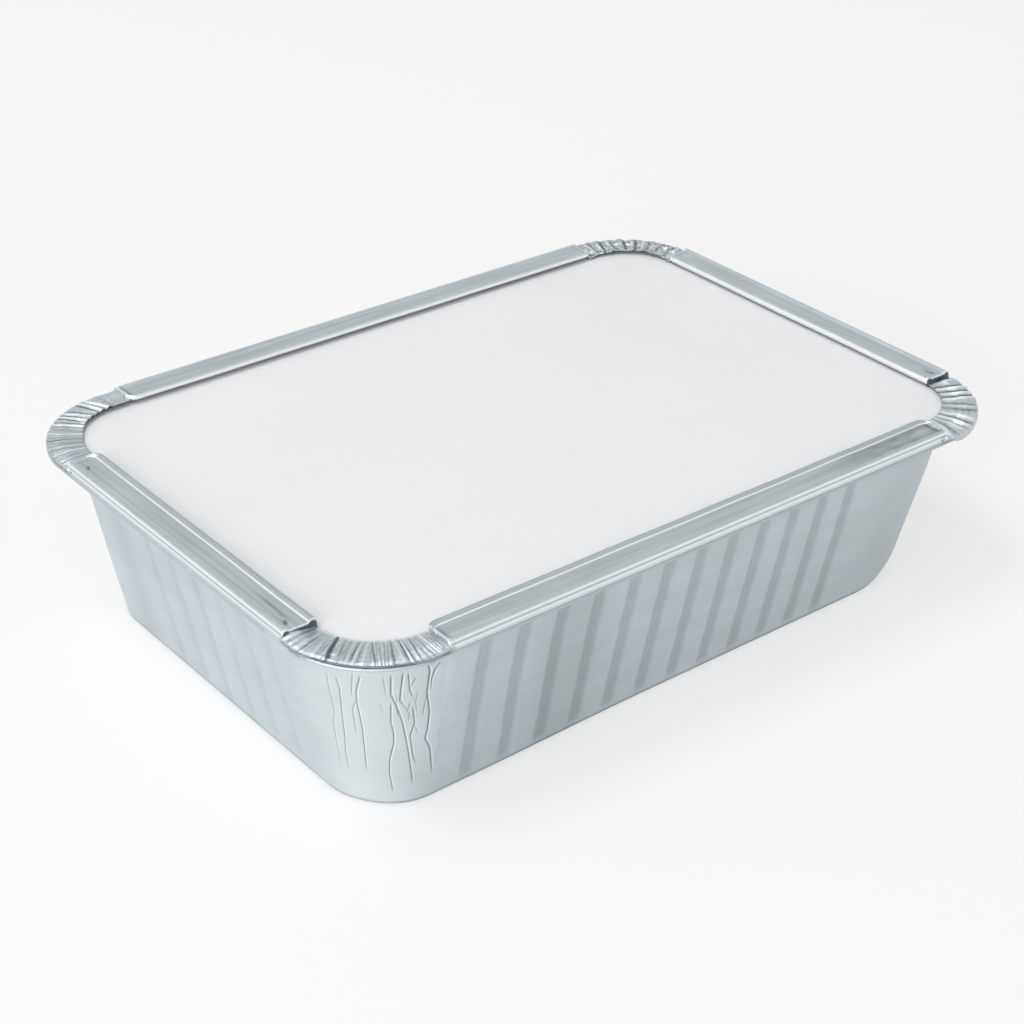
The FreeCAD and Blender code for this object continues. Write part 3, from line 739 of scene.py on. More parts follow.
def wall_shape(height, creased):
    """Outward push and tone, painted light and shade, of the wall at one height, for all columns."""
    push, tone = flute_shape(height)
    shade_wall(tone, height)
    arc = column_share * CORNER_ARC
    swell = waves(arc + column_x + column_y, height, SWELL_LENGTH, SWELL_SEED)
    push += SWELL * swell * smooth_step(height, *SWELL_HEIGHTS)
    if creased:
        crease, crease_tone = crease_press(arc[is_near], height)
        push[is_near] += crease
        tone[is_near] += crease_tone
    return push, tone


def wall_row(outline_height, step_out, height):
    """Points of a row at a height, a step out from the wall's outline at its own height."""
    line, outward = wall_line(outline_height)
    flat = line + outward * (step_out + settled(outline_height))[:, None]
    return np.column_stack([flat, np.full(len(columns), height)])


def make_tub():
    """The pressed base, fluted walls, flange and hem, with a skin inside and out."""
    rims = [rim_at(column) for column in columns]
    rim_places = np.array([point for point, _ in rims])
    rim_outward = np.array([direction for _, direction in rims])
    plain = np.zeros(len(columns))
    points, tones = [], []
    for step_out, height in tub_rows():
        push, tone = wall_shape(height, True)
        if height < BASE_FLAT:
            push = plain
        points.append(wall_row(height, step_out + push, height))
        tones.append(tone)
    for inset, height in hem_rows():
        points.append(np.column_stack([rim_places - rim_outward * inset, np.full(len(columns), height)]))
        tones.append(np.where(is_near, HEM_TONE_CORNER, HEM_TONE))
    for height in INNER_HEIGHTS:
        push, _ = wall_shape(height, False)
        points.append(wall_row(height, push - INNER_GAP, height))
        tones.append(plain)
    base_edge = tub_rows()[1][0]
    for inset, height in INNER_BASE:
        points.append(wall_row(0.0, base_edge - inset, height))
        tones.append(plain)
    count = len(columns)
    last = (len(points) - 1) * count
    faces = grid_faces(len(points), count) + [tuple(range(count)), tuple(range(last, last + count))]
    make_piece("foil_tub", np.concatenate(points), faces, np.concatenate(tones), foil_wall)


make_tub()


# Folded strips.

STRIP_INSET = 0.5
LEFT_TURN, RIGHT_TURN = 1, -1
# Folds from the flange up, over the board's edge and into the curled bead:
# name, length or radius, degrees turned, way, and how many pieces it is meshed in.
FOLDS = [
    ("upright", 1.75, None, None, 4),
    ("flare", 1.0, 20.0, LEFT_TURN, 2),
    ("fold", 0.85, 150.0, RIGHT_TURN, 14),
    ("dip", 1.0, 40.0, LEFT_TURN, 5),
    ("channel", 4.6, None, None, 12),
    ("lift", 0.8, 40.0, LEFT_TURN, 5),
    ("rise", 0.35, None, None, 2),
    ("bead", 1.05, 290.0, RIGHT_TURN, 26),
]
# Lines along a strip: fold they lie on, where (heading in degrees, or height on the upright),
# how wide, and their tone: painted highlights where above 0, painted shade where below.
STRIP_LINES = [
    ("upright", 49.35, 0.85, 0.6),
    ("fold", 92.0, 11.0, -0.3),
    ("fold", 60.0, 26.0, 0.95),
    ("fold", 16.0, 16.0, -0.3),
    ("fold", -30.0, 16.0, -0.35),
    ("dip", -38.0, 40.0, -0.30),
    ("lift", 34.0, 20.0, 0.95),
]
# The bead: painted shade on its back, as the strips nearer the camera show it, and a painted highlight that
# makes its face bright on the others.
BEAD_BACK = [
    ("rise", 40.0, 20.0, -0.2),
    ("bead", 30.0, 30.0, -0.3),
    ("bead", -8.0, 30.0, -0.35),
    ("bead", -75.0, 60.0, -0.5),
]
BEAD_FACE = [
    ("bead", -10.0, 20.0, -0.15),
    ("bead", -72.0, 52.0, 0.95),
    ("bead", -135.0, 55.0, 0.9),
]
# Painted light on each strip's upright and painted shade in its channel.
PLAIN_TONE = {"upright": 0.25, "channel": -0.17}
STRONGEST_TONE = 0.95


def fold_profile():
    """Middle line of a strip as rows of (inset, height, heading in degrees) and the fold each belongs to."""
    place = np.array([STRIP_INSET, WALL_TOP])
    heading = 90.0
    rows = [(place[0], place[1], heading)]
    labels = ["upright"]
    for label, length, degrees, way, pieces in FOLDS:
        half_turn = 0.0 if degrees is None else way * degrees / pieces / 2
        step = length / pieces
        if degrees is not None:
            step = 2 * length * math.sin(math.radians(degrees / pieces) / 2)
        for _ in range(pieces):
            heading += half_turn
            direction = math.radians(heading)
            place = place + step * np.array([math.cos(direction), math.sin(direction)])
            heading += half_turn
            rows.append((place[0], place[1], heading))
            labels.append(label)
    return np.array(rows), labels


def fold_tone(rows, labels, bead_lines):
    """Tone along the strip's section: painted highlights along its folds, painted shade in the creases beside
    them.
    """
    tone = np.array([PLAIN_TONE.get(label, 0.0) for label in labels])
    for fold, place, half_width, strength in STRIP_LINES + bead_lines:
        on_fold = np.array([label == fold for label in labels])
        measure = rows[:, 1] if fold == "upright" else rows[:, 2]
        tone += on_fold * strength * bump(measure - place, half_width)
    return tone


def thickened(line):
    """Ring of points round a line given the foil's gauge: out along the top, back along the underside."""
    along = np.gradient(line, axis=0)
    along /= np.linalg.norm(along, axis=1)[:, None]
    normal = np.stack([-along[:, 1], along[:, 0]], axis=1)
    upper = line + GAUGE / 2 * normal
    lower = line - GAUGE / 2 * normal
    return np.concatenate([upper, lower[::-1]])


# How far past a strip's end its closing foil runs, how soon that takes its own tone of painted shade, and
# the steps the end is meshed in.
END_WALL = 0.35
END_DROP = 0.8 * END_WALL
END_TONE_RUN = 0.08
END_STEPS = (
    -0.35, -0.26, -0.16, -0.08, 0.0, 0.08, 0.16, 0.26, 0.4, 0.55, 0.75, 1.0, 1.3, 1.6, 2.0, 2.4, 2.9,
    3.4, 4.0, 4.7, 5.5, 6.4)
STRIP_STEP = 1.1
# Insets between which the rounding of an end sets in, and the distances in from the end over which
# its raised lip falls back.
ROUNDING_INSETS = (2.5, 7.5)
LIP_RUN = (0.25, 1.2)
LIP_DROP = 0.1
# Painted highlight along an end's edge, by its distance in, half width, insets and height over the board.
EDGE_PLACE = 0.22
EDGE_HALF = 0.42
EDGE_INSETS = (-0.4, 0.6)
EDGE_RISE = 0.6
# Painted shade behind a lip: its share of the lip's height, distance in and half width.
BEHIND_LIP = 0.35
BEHIND_PLACE = 1.4
BEHIND_HALF = 0.8
# Height over the board that the closing foil comes down to.
END_FLOOR = 0.3


def strip_stations(low, high):
    """Places along a strip: close together at its ends."""
    count = int((high - low - 2 * END_STEPS[-1]) / STRIP_STEP)
    inner = np.linspace(low + END_STEPS[-1], high - END_STEPS[-1], count)[1:-1]
    from_low = [low + step for step in END_STEPS]
    from_high = [high - step for step in END_STEPS[::-1]]
    return np.array(from_low + list(inner) + from_high)


def shape_end(line, tone, rows, crest, edge, end, in_channel, top):
    """Round off, lift and close one end of a strip, at a distance in from that end."""
    inset = rows[:, 0]
    if edge < end["rounding"]:
        reach = end["rounding"]
        pull = reach - math.sqrt(max(0.0, reach ** 2 - (reach - max(edge, 0.0)) ** 2))
        line[:, 0] -= pull * smooth_step(inset, *ROUNDING_INSETS)
    lip = end["lip"]
    rise = float(1 - smooth_step(edge, *LIP_RUN))
    line[:, 1] += lip * rise * (crest - LIP_DROP - line[:, 1]) * in_channel * top
    # Painted highlight along the end's edge, and painted shade behind the lip and on the closing wall.
    over = (rows[:, 1] > LID_TOP + EDGE_RISE) * smooth_step(inset, *EDGE_INSETS)
    tone += end["edge_tone"] * float(bump(edge - EDGE_PLACE, EDGE_HALF)) * over
    tone -= lip * BEHIND_LIP * float(bump(edge - BEHIND_PLACE, BEHIND_HALF)) * in_channel * top
    if edge < 0:
        drop = float(smooth_step(-edge, 0.0, END_DROP))
        floor = np.minimum(line[:, 1], LID_TOP + END_FLOOR)
        line[:, 1] += drop * (floor - line[:, 1])
        tone += float(smooth_step(-edge, 0.0, END_TONE_RUN)) * (end["wall_tone"] - tone)


# Slow unevenness along a strip: how much its free edge wanders, its channel swells and its tone varies,
# and the lengths of those waves.
WANDER = 0.10
WANDER_LENGTH = 38.0
WANDER_INSETS = (2.0, 8.0)
CHANNEL_SWELL = 0.06
CHANNEL_SWELL_LENGTH = 24.0
CHANNEL_MOTTLE = 0.09
MOTTLE_LENGTH = 5.0
# How much faster the swell changes across the strip, and the mottle along and across it.
SWELL_ACROSS = 6
MOTTLE_ALONG = 0.12
MOTTLE_ACROSS = 3
# Insets between which the channel's flat opens and closes, and the heights under its level between
# which the fold's underside begins.
CHANNEL_OPENS = (1.0, 1.8)
CHANNEL_CLOSES = (7.0, 7.6)
UNDER_CHANNEL = (0.6, 0.2)


def side_points(side, along, ring):
    """Points of a strip's ring, given as rows of (inset, height), at a place along one side."""
    run = np.full(len(ring), along)
    reach_x, reach_y = RIM_HALF_X - ring[:, 0], RIM_HALF_Y - ring[:, 0]
    x, y = {
        "near": (run, -reach_y), "far": (run, reach_y),
        "left": (-reach_x, run), "right": (reach_x, run),
    }[side]
    return np.column_stack([x, y, ring[:, 1]])


def press_marks(line, tone, marks, along, inset, in_channel, top):
    """Press small dents into a strip's channel."""
    for place, across, long, wide, depth, strength in marks:
        press = np.exp(-((along - place) / long) ** 2 - ((inset - across) / wide) ** 2) * in_channel * top
        line[:, 1] -= depth * press
        tone -= strength * press


def make_strip(name, side, low, high, low_end, high_end, marks, shade, bead_share, seed, material):
    """One straight strip, with an end of its own kind at each end and small dents, the marks.

    bead_share is how tightly the bead is curled, as a share of its full size.
    """
    rows, labels = fold_profile()
    in_bead = np.array([label in ("rise", "bead") for label in labels])
    bead_start = rows[labels.index("rise") - 1, :2]
    rows[in_bead, :2] = bead_start + bead_share * (rows[in_bead, :2] - bead_start)
    tone_row = fold_tone(rows, labels, BEAD_BACK if side in ("near", "left") else BEAD_FACE)
    channel_height = float(np.mean([row[1] for row, label in zip(rows, labels) if label == "channel"]))
    crest = float(rows[:, 1].max())
    inset = rows[:, 0]
    in_channel = smooth_step(inset, *CHANNEL_OPENS) * (1 - smooth_step(inset, *CHANNEL_CLOSES))
    top = smooth_step(rows[:, 1], channel_height - UNDER_CHANNEL[0], channel_height - UNDER_CHANNEL[1])
    stations = strip_stations(low, high)
    points, tones = [], []
    for along in stations:
        line = rows[:, :2].copy()
        tone = tone_row.copy()
        spread = np.full(len(rows), along)
        wander = waves(along, 0.0, WANDER_LENGTH, seed)
        line[:, 0] += WANDER * wander * smooth_step(inset, *WANDER_INSETS)
        swell = waves(spread, inset * SWELL_ACROSS, CHANNEL_SWELL_LENGTH, seed + 1)
        line[:, 1] += CHANNEL_SWELL * swell * in_channel
        mottle = waves(spread * MOTTLE_ALONG, inset * MOTTLE_ACROSS, MOTTLE_LENGTH, seed + 2)
        tone += CHANNEL_MOTTLE * mottle * in_channel * top
        tone += shade(along, inset) * in_channel * top
        press_marks(line, tone, marks, along, inset, in_channel, top)
        for edge, end in ((along - low, low_end), (high - along, high_end)):
            if edge < END_STEPS[-1]:
                shape_end(line, tone, rows, crest, edge, end, in_channel, top)
        points.append(side_points(side, along, thickened(line)))
        tones.append(np.concatenate([tone, tone[::-1]]))
    faces = bar_faces(len(stations), len(points[0]))
    tone = np.clip(np.concatenate(tones), -STRONGEST_TONE, STRONGEST_TONE)
    make_piece(name, np.concatenate(points), faces, tone, material)


# Where each strip ends, in from the rim's outline.
NEAR_RUNS = (26.5, 26.5)
FAR_RUNS = (29.7, 25.6)
LEFT_RUNS = (25.1, 29.0)
RIGHT_RUNS = (23.3, 23.4)
# Kinds of strip end: rounding of the free corner, lip height, painted shade of the end wall and painted
# highlight of its edge.
LIPPED = {"rounding": 2.6, "lip": 1.0, "wall_tone": -0.15, "edge_tone": 0.75}
SOFT = {"rounding": 2.0, "lip": 0.3, "wall_tone": -0.2, "edge_tone": 0.35}
CUT = {"rounding": 0.5, "lip": 0.0, "wall_tone": -0.95, "edge_tone": 0.95}


def even(along, inset):
    """No extra shade along a strip."""
    return 0.0


# The near strip's right end: where the darkening sets in, its tone, how much and in what lengths it is
# mottled, and a paler patch as (place, half length, inset, half width, tone).
DARK_RUN = (28.0, 66.0)
DARK_TONE = -0.30
DARK_MOTTLE = 0.10
DARK_MOTTLE_LENGTH = 2.4
DARK_SEED = 15
PALE_PATCH = (74.0, 7.0, 4.4, 2.2, 0.22)


def near_shade(along, inset):
    """The near strip darkens and turns mottled towards its right end."""
    dark = float(smooth_step(along, *DARK_RUN))
    mottle = waves(along * 0.5, inset * 1.6, DARK_MOTTLE_LENGTH, DARK_SEED)
    place, half_length, across, half_width, tone = PALE_PATCH
    patch = tone * float(bump(along - place, half_length)) * bump(inset - across, half_width)
    return dark * (DARK_TONE + DARK_MOTTLE * mottle) + patch


# Small marks in a channel: place along the strip, inset, half lengths along and across, depth, tone.
LEFT_MARKS = [
    (-38.0, 4.6, 4.5, 0.22, 0.05, 0.7), (-43.0, 4.2, 2.0, 0.2, 0.05, 0.6), (-45.6, 3.4, 0.8, 0.35, 0.12, 0.9),
    (-46.4, 3.0, 0.5, 0.4, 0.1, 0.6), (-44.5, 2.6, 5.0, 0.3, 0.05, 0.3), (40.6, 3.6, 0.5, 0.4, 0.15, 1.0),
    (39.8, 3.1, 0.5, 0.3, 0.1, 0.6)]
RIGHT_MARKS = [
    (-48.6, 4.3, 0.7, 0.5, 0.15, 0.9), (-47.5, 5.0, 0.6, 0.4, 0.1, 0.7), (-46.4, 3.9, 1.2, 0.3, 0.05, 0.35),
    (47.5, 4.0, 1.2, 1.0, 0.1, -0.25)]

make_strip("strip_near", "near", -RIM_HALF_X + NEAR_RUNS[0], RIM_HALF_X - NEAR_RUNS[1], LIPPED, LIPPED,
           [], near_shade, 1.0, 11, foil_long)
make_strip("strip_far", "far", -RIM_HALF_X + FAR_RUNS[0], RIM_HALF_X - FAR_RUNS[1], LIPPED, SOFT,
           [], even, 0.56, 21, foil_long)
make_strip("strip_left", "left", -RIM_HALF_Y + LEFT_RUNS[0], RIM_HALF_Y - LEFT_RUNS[1], CUT, SOFT,
           LEFT_MARKS, even, 1.0, 31, foil_short)
make_strip("strip_right", "right", -RIM_HALF_Y + RIGHT_RUNS[0], RIM_HALF_Y - RIGHT_RUNS[1], CUT, SOFT,
           RIGHT_MARKS, even, 0.74, 41, foil_short)


# Crushed corners. A fold is a line of two photograph pixels, from its inner to its outer end,
# with its kind: a valley painted dark with shade, a ridge painted white with a highlight, or a soft one of
# either, and its strength.
NEAR_FOLDS = [
    ((325.7, 631.5), (301.5, 649.1), "dark", 0.35),
    ((330.1, 635.2), (318.4, 652.8), "dark", 0.35),
    ((336.0, 636.0), (325.0, 655.0), "white", 0.35),
    ((338.0, 636.4), (327.2, 658.0), "dark", 2.2),
    ((346.3, 638.1), (336.7, 661.6), "dark", 0.5),
    ((352.1, 639.6), (341.9, 663.0), "dark", 0.35),
    ((359.5, 642.5), (349.9, 658.7), "dark", 0.6),
    ((362.5, 641.5), (353.5, 660.5), "white", 0.45),
    ((365.4, 641.8), (356.5, 661.0), "dark", 0.3),
    ((371.2, 644.0), (375.6, 663.1), "dark", 0.8),
    ((377.8, 642.5), (381.5, 657.2), "dark", 0.35),
    ((383.7, 642.5), (385.2, 661.6), "dark", 0.35),
    ((390.3, 641.1), (394.7, 663.1), "dark", 0.7),
    ((397.6, 639.6), (408.5, 659.0), "dark", 0.9),
    ((400.5, 640.5), (411.5, 659.5), "white", 0.9),
    ((402.5, 642.0), (414.5, 658.7), "dark", 0.5),
    ((409.4, 639.6), (416.7, 652.8), "dark", 0.8),
    ((418.2, 635.2), (438.7, 650.6), "white", 1.0),
    ((424.0, 633.0), (441.5, 648.5), "dark", 0.3),
]
LEFT_FOLDS = [
    ((111.5, 456.5), (75.0, 460.5), "white", 0.25),
    ((79.1, 452.8), (61.6, 459.8), "dark", 0.35),
    ((67.9, 450.7), (57.4, 454.9), "white", 0.6),
    ((65.1, 449.3), (53.2, 451.4), "dark", 0.4),
    ((81.9, 438.1), (63.7, 440.2), "dark", 0.6),
    ((76.0, 434.0), (50.5, 434.6), "white", 0.4),
    ((77.0, 430.5), (53.0, 429.6), "dark", 0.3),
    ((74.9, 427.5), (48.9, 426.8), "dark", 0.55),
    ((75.6, 425.6), (48.2, 425.3), "white", 1.0),
    ((79.1, 423.6), (63.0, 424.0), "dark", 0.5),
    ((81.9, 421.6), (55.3, 419.1), "dark", 0.8),
    ((84.7, 419.5), (55.3, 417.7), "white", 1.0),
    ((84.0, 417.0), (58.1, 416.0), "dark", 0.6),
    ((86.1, 414.9), (58.1, 414.4), "white", 1.0),
    ((87.5, 412.1), (60.2, 412.1), "dark", 0.5),
    ((95.3, 410.0), (76.3, 406.8), "dark", 0.9),
    ((96.0, 407.2), (73.5, 403.0), "white", 1.0),
    ((100.2, 405.1), (86.1, 404.4), "dark", 0.7),
    ((104.4, 404.4), (79.8, 402.3), "white", 1.0),
    ((110.0, 401.5), (92.0, 396.0), "dark", 0.3),
]
RIGHT_FOLDS = [
    ((930.5, 381.5), (956.5, 373.5), "dark", 1.6),
    ((935.0, 383.5), (960.0, 378.5), "white", 0.5),
    ((938.3, 386.4), (969.8, 384.1), "dark", 0.9),
    ((940.2, 389.5), (970.8, 386.4), "white", 1.0),
    ((941.5, 391.8), (974.0, 390.2), "dark", 0.9),
    ((943.4, 394.3), (975.9, 392.4), "white", 1.0),
    ((944.0, 396.9), (975.9, 395.0), "dark", 0.9),
    ((945.0, 399.7), (976.5, 397.5), "white", 1.0),
    ((944.6, 402.6), (972.1, 404.8), "dark", 0.6),
    ((946.0, 405.5), (974.0, 407.0), "white", 0.3),
    ((948.0, 408.0), (967.0, 409.3), "dark", 0.6),
    ((940.2, 411.5), (965.0, 418.0), "white", 1.0),
    ((940.8, 413.1), (967.0, 422.1), "dark", 0.7),
    ((938.3, 415.1), (968.2, 425.9), "white", 1.0),
    ((938.0, 416.8), (958.0, 424.5), "dark", 0.4),
    ((937.0, 418.5), (960.0, 428.5), "white", 0.6),
    ((935.0, 419.5), (955.0, 432.0), "dark", 0.5),
    ((930.0, 418.9), (952.0, 436.5), "white", 0.7),
]
FOLD_HEIGHT = 49.6
VALLEY_RISE = {"dark": 0.0, "white": 1.0}
# Painted shade on the underside of the crushed corners.
UNDERSIDE_TONE = -0.8


def point_at_height(pixel, height):
    """Point of the level plane at a height that a pixel of the photograph shows."""
    ray = photo_ray(pixel)
    return CAMERA_PLACE + (height - CAMERA_PLACE[2]) / ray[2] * ray


def travel_at(corner, pixel):
    """How far along the rim a pixel lies: 0 where the corner's arc meets the short side."""
    point = point_at_height(pixel, FOLD_HEIGHT)
    past_x = corner[0] * point[0] - (RIM_HALF_X - RIM_CORNER)
    past_y = corner[1] * point[1] - (RIM_HALF_Y - RIM_CORNER)
    if past_y < 0:
        return float(past_y)
    if past_x < 0:
        return RIM_ARC - float(past_x)
    return RIM_CORNER * math.atan2(past_y, past_x)


def rim_point(corner, travel):
    """Points of the rim's outline at one corner and the level directions in from it, for many travels."""
    bend = np.clip(travel, 0, RIM_ARC) / RIM_CORNER
    x = corner[0] * (RIM_HALF_X - RIM_CORNER + RIM_CORNER * np.cos(bend) - np.maximum(travel - RIM_ARC, 0))
    y = corner[1] * (RIM_HALF_Y - RIM_CORNER + RIM_CORNER * np.sin(bend) + np.minimum(travel, 0))
    inward = np.stack([-corner[0] * np.cos(bend), -corner[1] * np.sin(bend)], axis=-1)
    return np.stack([x, y], axis=-1), inward


def sight_slide(corner, travel, height):
    """How far along the rim a point moves when it is lifted by a height along the camera's line of sight."""
    forward = camera_axes()[0]
    sight = forward[:2] / forward[2]
    bend = np.clip(travel, 0, RIM_ARC) / RIM_CORNER
    tangent_x = -corner[0] * np.sin(bend)
    tangent_y = corner[1] * np.cos(bend)
    return height * (sight[0] * tangent_x + sight[1] * tangent_y)


def loose_folds(start, end, count, seed):
    """Folds for a corner whose own can't be told apart: travel at the inner and outer end, kind, strength."""
    rng = np.random.default_rng(seed)
    step = (end - start) / count
    folds = []
    for index in range(count):
        middle = start + (index + 0.5 + rng.uniform(-0.25, 0.25)) * step
        lean = rng.uniform(-0.4, 0.4) * step
        kind = "white" if index % 2 else "dark"
        folds.append((middle + lean, middle - lean, kind, rng.uniform(0.25, 0.8)))
    return folds


def fine_folds(start, end, count, seed):
    """Thin, faint folds between the plain ones."""
    rng = np.random.default_rng(seed)
    folds = []
    for index in range(count):
        middle = start + (end - start) * (index + rng.uniform(0.2, 0.8)) / count
        lean = rng.uniform(-0.5, 0.5)
        kind = "white" if index % 3 == 0 else "dark"
        folds.append((middle + lean, middle - lean, kind, rng.uniform(0.15, 0.4)))
    return folds


# A fold added between two others: its place, as a share of the way to the second, and its strength.
BETWEEN_PLACE = 0.62
BETWEEN_STRENGTH = 0.12


def with_ridges(folds):
    """Add a ridge between two valleys in a row, and a valley between two ridges."""
    full = []
    for fold in sorted(folds, key=lambda entry: entry[0] + entry[1]):
        if full and full[-1][2] == fold[2]:
            inner, outer = [full[-1][k] * (1 - BETWEEN_PLACE) + fold[k] * BETWEEN_PLACE for k in (0, 1)]
            full.append((inner, outer, "white" if fold[2] == "dark" else "dark", BETWEEN_STRENGTH))
        full.append(fold)
    return full


def smooth_line(points, pieces):
    """Catmull-Rom curve through points, cut into a number of pieces between each pair."""
    points = [points[0]] + list(points) + [points[-1]]
    line = []
    for index in range(1, len(points) - 2):
        p0, p1, p2, p3 = [np.array(points[index + k], float) for k in (-1, 0, 1, 2)]
        for piece in range(pieces):
            t = piece / pieces
            line.append(0.5 * (2 * p1 + (p2 - p0) * t + (2 * p0 - 5 * p1 + 4 * p2 - p3) * t ** 2
                               + (3 * p1 - p0 - 3 * p2 + p3) * t ** 3))
    line.append(np.array(points[-2], float))
    return np.array(line)


# A crushed corner's section: pieces meshed between its points, the meshed point on its shoulder, and
# those of its outer face.
SECTION_PIECES = 6
SHOULDER = 18
OUTER_FACE = (8, 16)
# How far a corner's foil runs on under the strips, the gap between its sections, the distances from a
# corner's ends over which it tucks in, and its inner edge's inset and crest's rise there.
PLEAT_TUCK = 1.5
PLEAT_STEP = 0.16
TUCK_RUN = (0.1, 0.9)
TUCKED_INSET = 6.2
TUCKED_RISE = 0.9
# Between 0, a full valley, and 1, a full ridge: the rise beyond a corner's ends, and the shares of a
# fold's rise that it always has and that its strength adds.
END_RISE = 0.3
RISE_SHARES = (0.45, 0.55)
# How strongly a fold shows: from the shoulder in, always and by what more midway, and on the outer
# face, over the section's points where it sets in.
TOP_FADE = (0.55, 0.45)
FACE_FADE = 0.35
FACE_POINTS = (9, 17)
# A fold's width as a share of its look's: always, and what its strength of showing adds.
WIDTH_SHARES = (0.6, 0.5)
# Crumpling: step across the section, the lengths of the coarse and fine waves and of the scalloped
# edge's, the fine waves' share, and the section's points over which it sets in.
ACROSS_STEP = 0.45
COARSE_LENGTH = 3.4
FINE_LENGTH = 1.5
SCALLOP_LENGTH = 2.6
FINE_SHARE = 0.4


def pleat_profile(ridge, relief, edge_inset, edge_height, rise, bulge, cover):
    """Smooth middle line across a crushed corner, from the flange's lip to the free inner edge.

    ridge is 0 in a valley and 1 on a ridge; bulge is how far it swells past the rim; cover is 1 where
    it hangs over the hem and 0 where it starts on top of the flange.
    """
    crest = LID_TOP + rise + relief * (ridge - 0.5)
    foot = 1.1 - 1.25 * min(1.0, 2 * cover)
    swell = (1 - ridge) * 0.25 - bulge
    drop = 1.2 * cover
    inner_height = 0.4 * crest + 0.6 * (LID_TOP + 0.35) + edge_height * 0.5 * (0.45 + 0.55 * ridge)
    return smooth_line([
        (foot, FLANGE_TOP - 0.05 - drop),
        (foot - 0.05, LID_TOP - 0.25 - drop),
        (swell, LID_TOP + 0.1 - drop / 2),
        (swell + 0.15, LID_TOP + 0.1 + 0.5 * (crest - LID_TOP)),
        (1.85, crest - 0.12),
        (3.7, crest),
        (0.62 * edge_inset + 0.4, inner_height),
        (edge_inset, LID_TOP + 0.28 + edge_height * (0.6 + 0.4 * ridge)),
    ], SECTION_PIECES)


def tuck_share(travel, start, end):
    """1 where a corner's foil lies under the strips and 0 between them."""
    near, far = TUCK_RUN
    after_end = smooth_step(travel, end + near, end + far)
    return 1 - smooth_step(travel, start - far, start - near) * (1 - after_end)


def section_places(edge, travel, tucked):
    """What pleat_profile takes after the relief, for every section of a corner."""
    edge = np.array(edge, float)
    inset, height, rise, bulge, cover = [np.interp(travel, edge[:, 0], edge[:, k]) for k in range(1, 6)]
    inset = inset * (1 - tucked) + TUCKED_INSET * tucked
    height = height * (1 - tucked)
    rise = rise * (1 - tucked) + TUCKED_RISE * tucked
    return list(zip(inset, height, rise, bulge, cover))


def line_rise(folds, places, travel):
    """Rise along the rim on one line of a corner's sections, 0 in a valley and 1 on a ridge."""
    knots = [(travel[0] - 1, END_RISE), (travel[-1] + 1, END_RISE)]
    for (_, _, kind, strength), place in zip(folds, places):
        share = RISE_SHARES[0] + RISE_SHARES[1] * min(1.0, strength)
        knots.append((place, 0.5 + (VALLEY_RISE[kind] - 0.5) * share))
    knots.sort()
    return np.interp(travel, [knot[0] for knot in knots], [knot[1] for knot in knots])


def line_tone(folds, places, travel, look, index, share):
    """Painted shade and highlights along the rim on one line of a corner's sections, a share of the way to
    the inner edge.
    """
    fade = TOP_FADE[0] + TOP_FADE[1] * math.sin(math.pi * min(1.0, 0.15 + 0.8 * share))
    if share == 0:
        fade = FACE_FADE * float(smooth_step(index, *FACE_POINTS))
    tone = np.full(len(travel), look["tone"])
    for (_, _, kind, strength), place in zip(folds, places):
        reach = look[kind + "_width"] * (WIDTH_SHARES[0] + WIDTH_SHARES[1] * fade) * max(1.0, strength)
        mark = np.exp(-((travel - place) / reach) ** 2)
        tone += (-1.0 if kind == "dark" else 1.0) * strength * fade * mark
    return tone


def lines_of_folds(corner, travel, folds, look, valley, ridged):
    """Rise, and painted shade and highlights, of a corner's folds at every point of its sections."""
    inset = valley[:, :, 0].mean(axis=0)
    shares = np.clip((inset - inset[SHOULDER]) / (inset[-1] - inset[SHOULDER]), 0.0, 1.0)
    shares[:SHOULDER] = 0.0
    level = 0.5 * (valley + ridged)[:, :, 1]
    rise = np.zeros(level.shape)
    tone = np.zeros(level.shape)
    for index, share in enumerate(shares):
        slide = sight_slide(corner, travel, level[:, index] - FOLD_HEIGHT)
        places = [outer + (inner - outer) * share for inner, outer, _, _ in folds]
        places = [place + float(np.interp(place, travel, slide)) for place in places]
        rise[:, index] = line_rise(folds, places, travel)
        tone[:, index] = line_tone(folds, places, travel, look, index, share)
    return rise, tone


def crumple(middle, tone, travel, free, look, seed):
    """Crumple and mottle a corner's sections, scallop their inner edge, and give that edge and the outer face
    their painted light and shade, where the foil is free.
    """
    span = np.arange(middle.shape[1])[None, :]
    coarse = waves(travel[:, None], ACROSS_STEP * span, COARSE_LENGTH, seed)
    fine = waves(travel[:, None], ACROSS_STEP * span, FINE_LENGTH, seed + 7)
    inside = smooth_step(span, *OUTER_FACE) * free[:, None]
    middle[:, :, 1] += look["crumple"] * (coarse + FINE_SHARE * fine) * inside
    tone += look["mottle"] * fine * inside
    scallop = waves(travel, 0.0, SCALLOP_LENGTH, seed + 3)
    middle[:, -1, 0] += look["scallop"] * scallop * free
    middle[:, -2, 0] += look["scallop"] / 2 * scallop * free
    tone[:, -2:] += look["edge_tone"] * free[:, None]
    tone[:, slice(*OUTER_FACE)] += look["outer_tone"] * free[:, None]


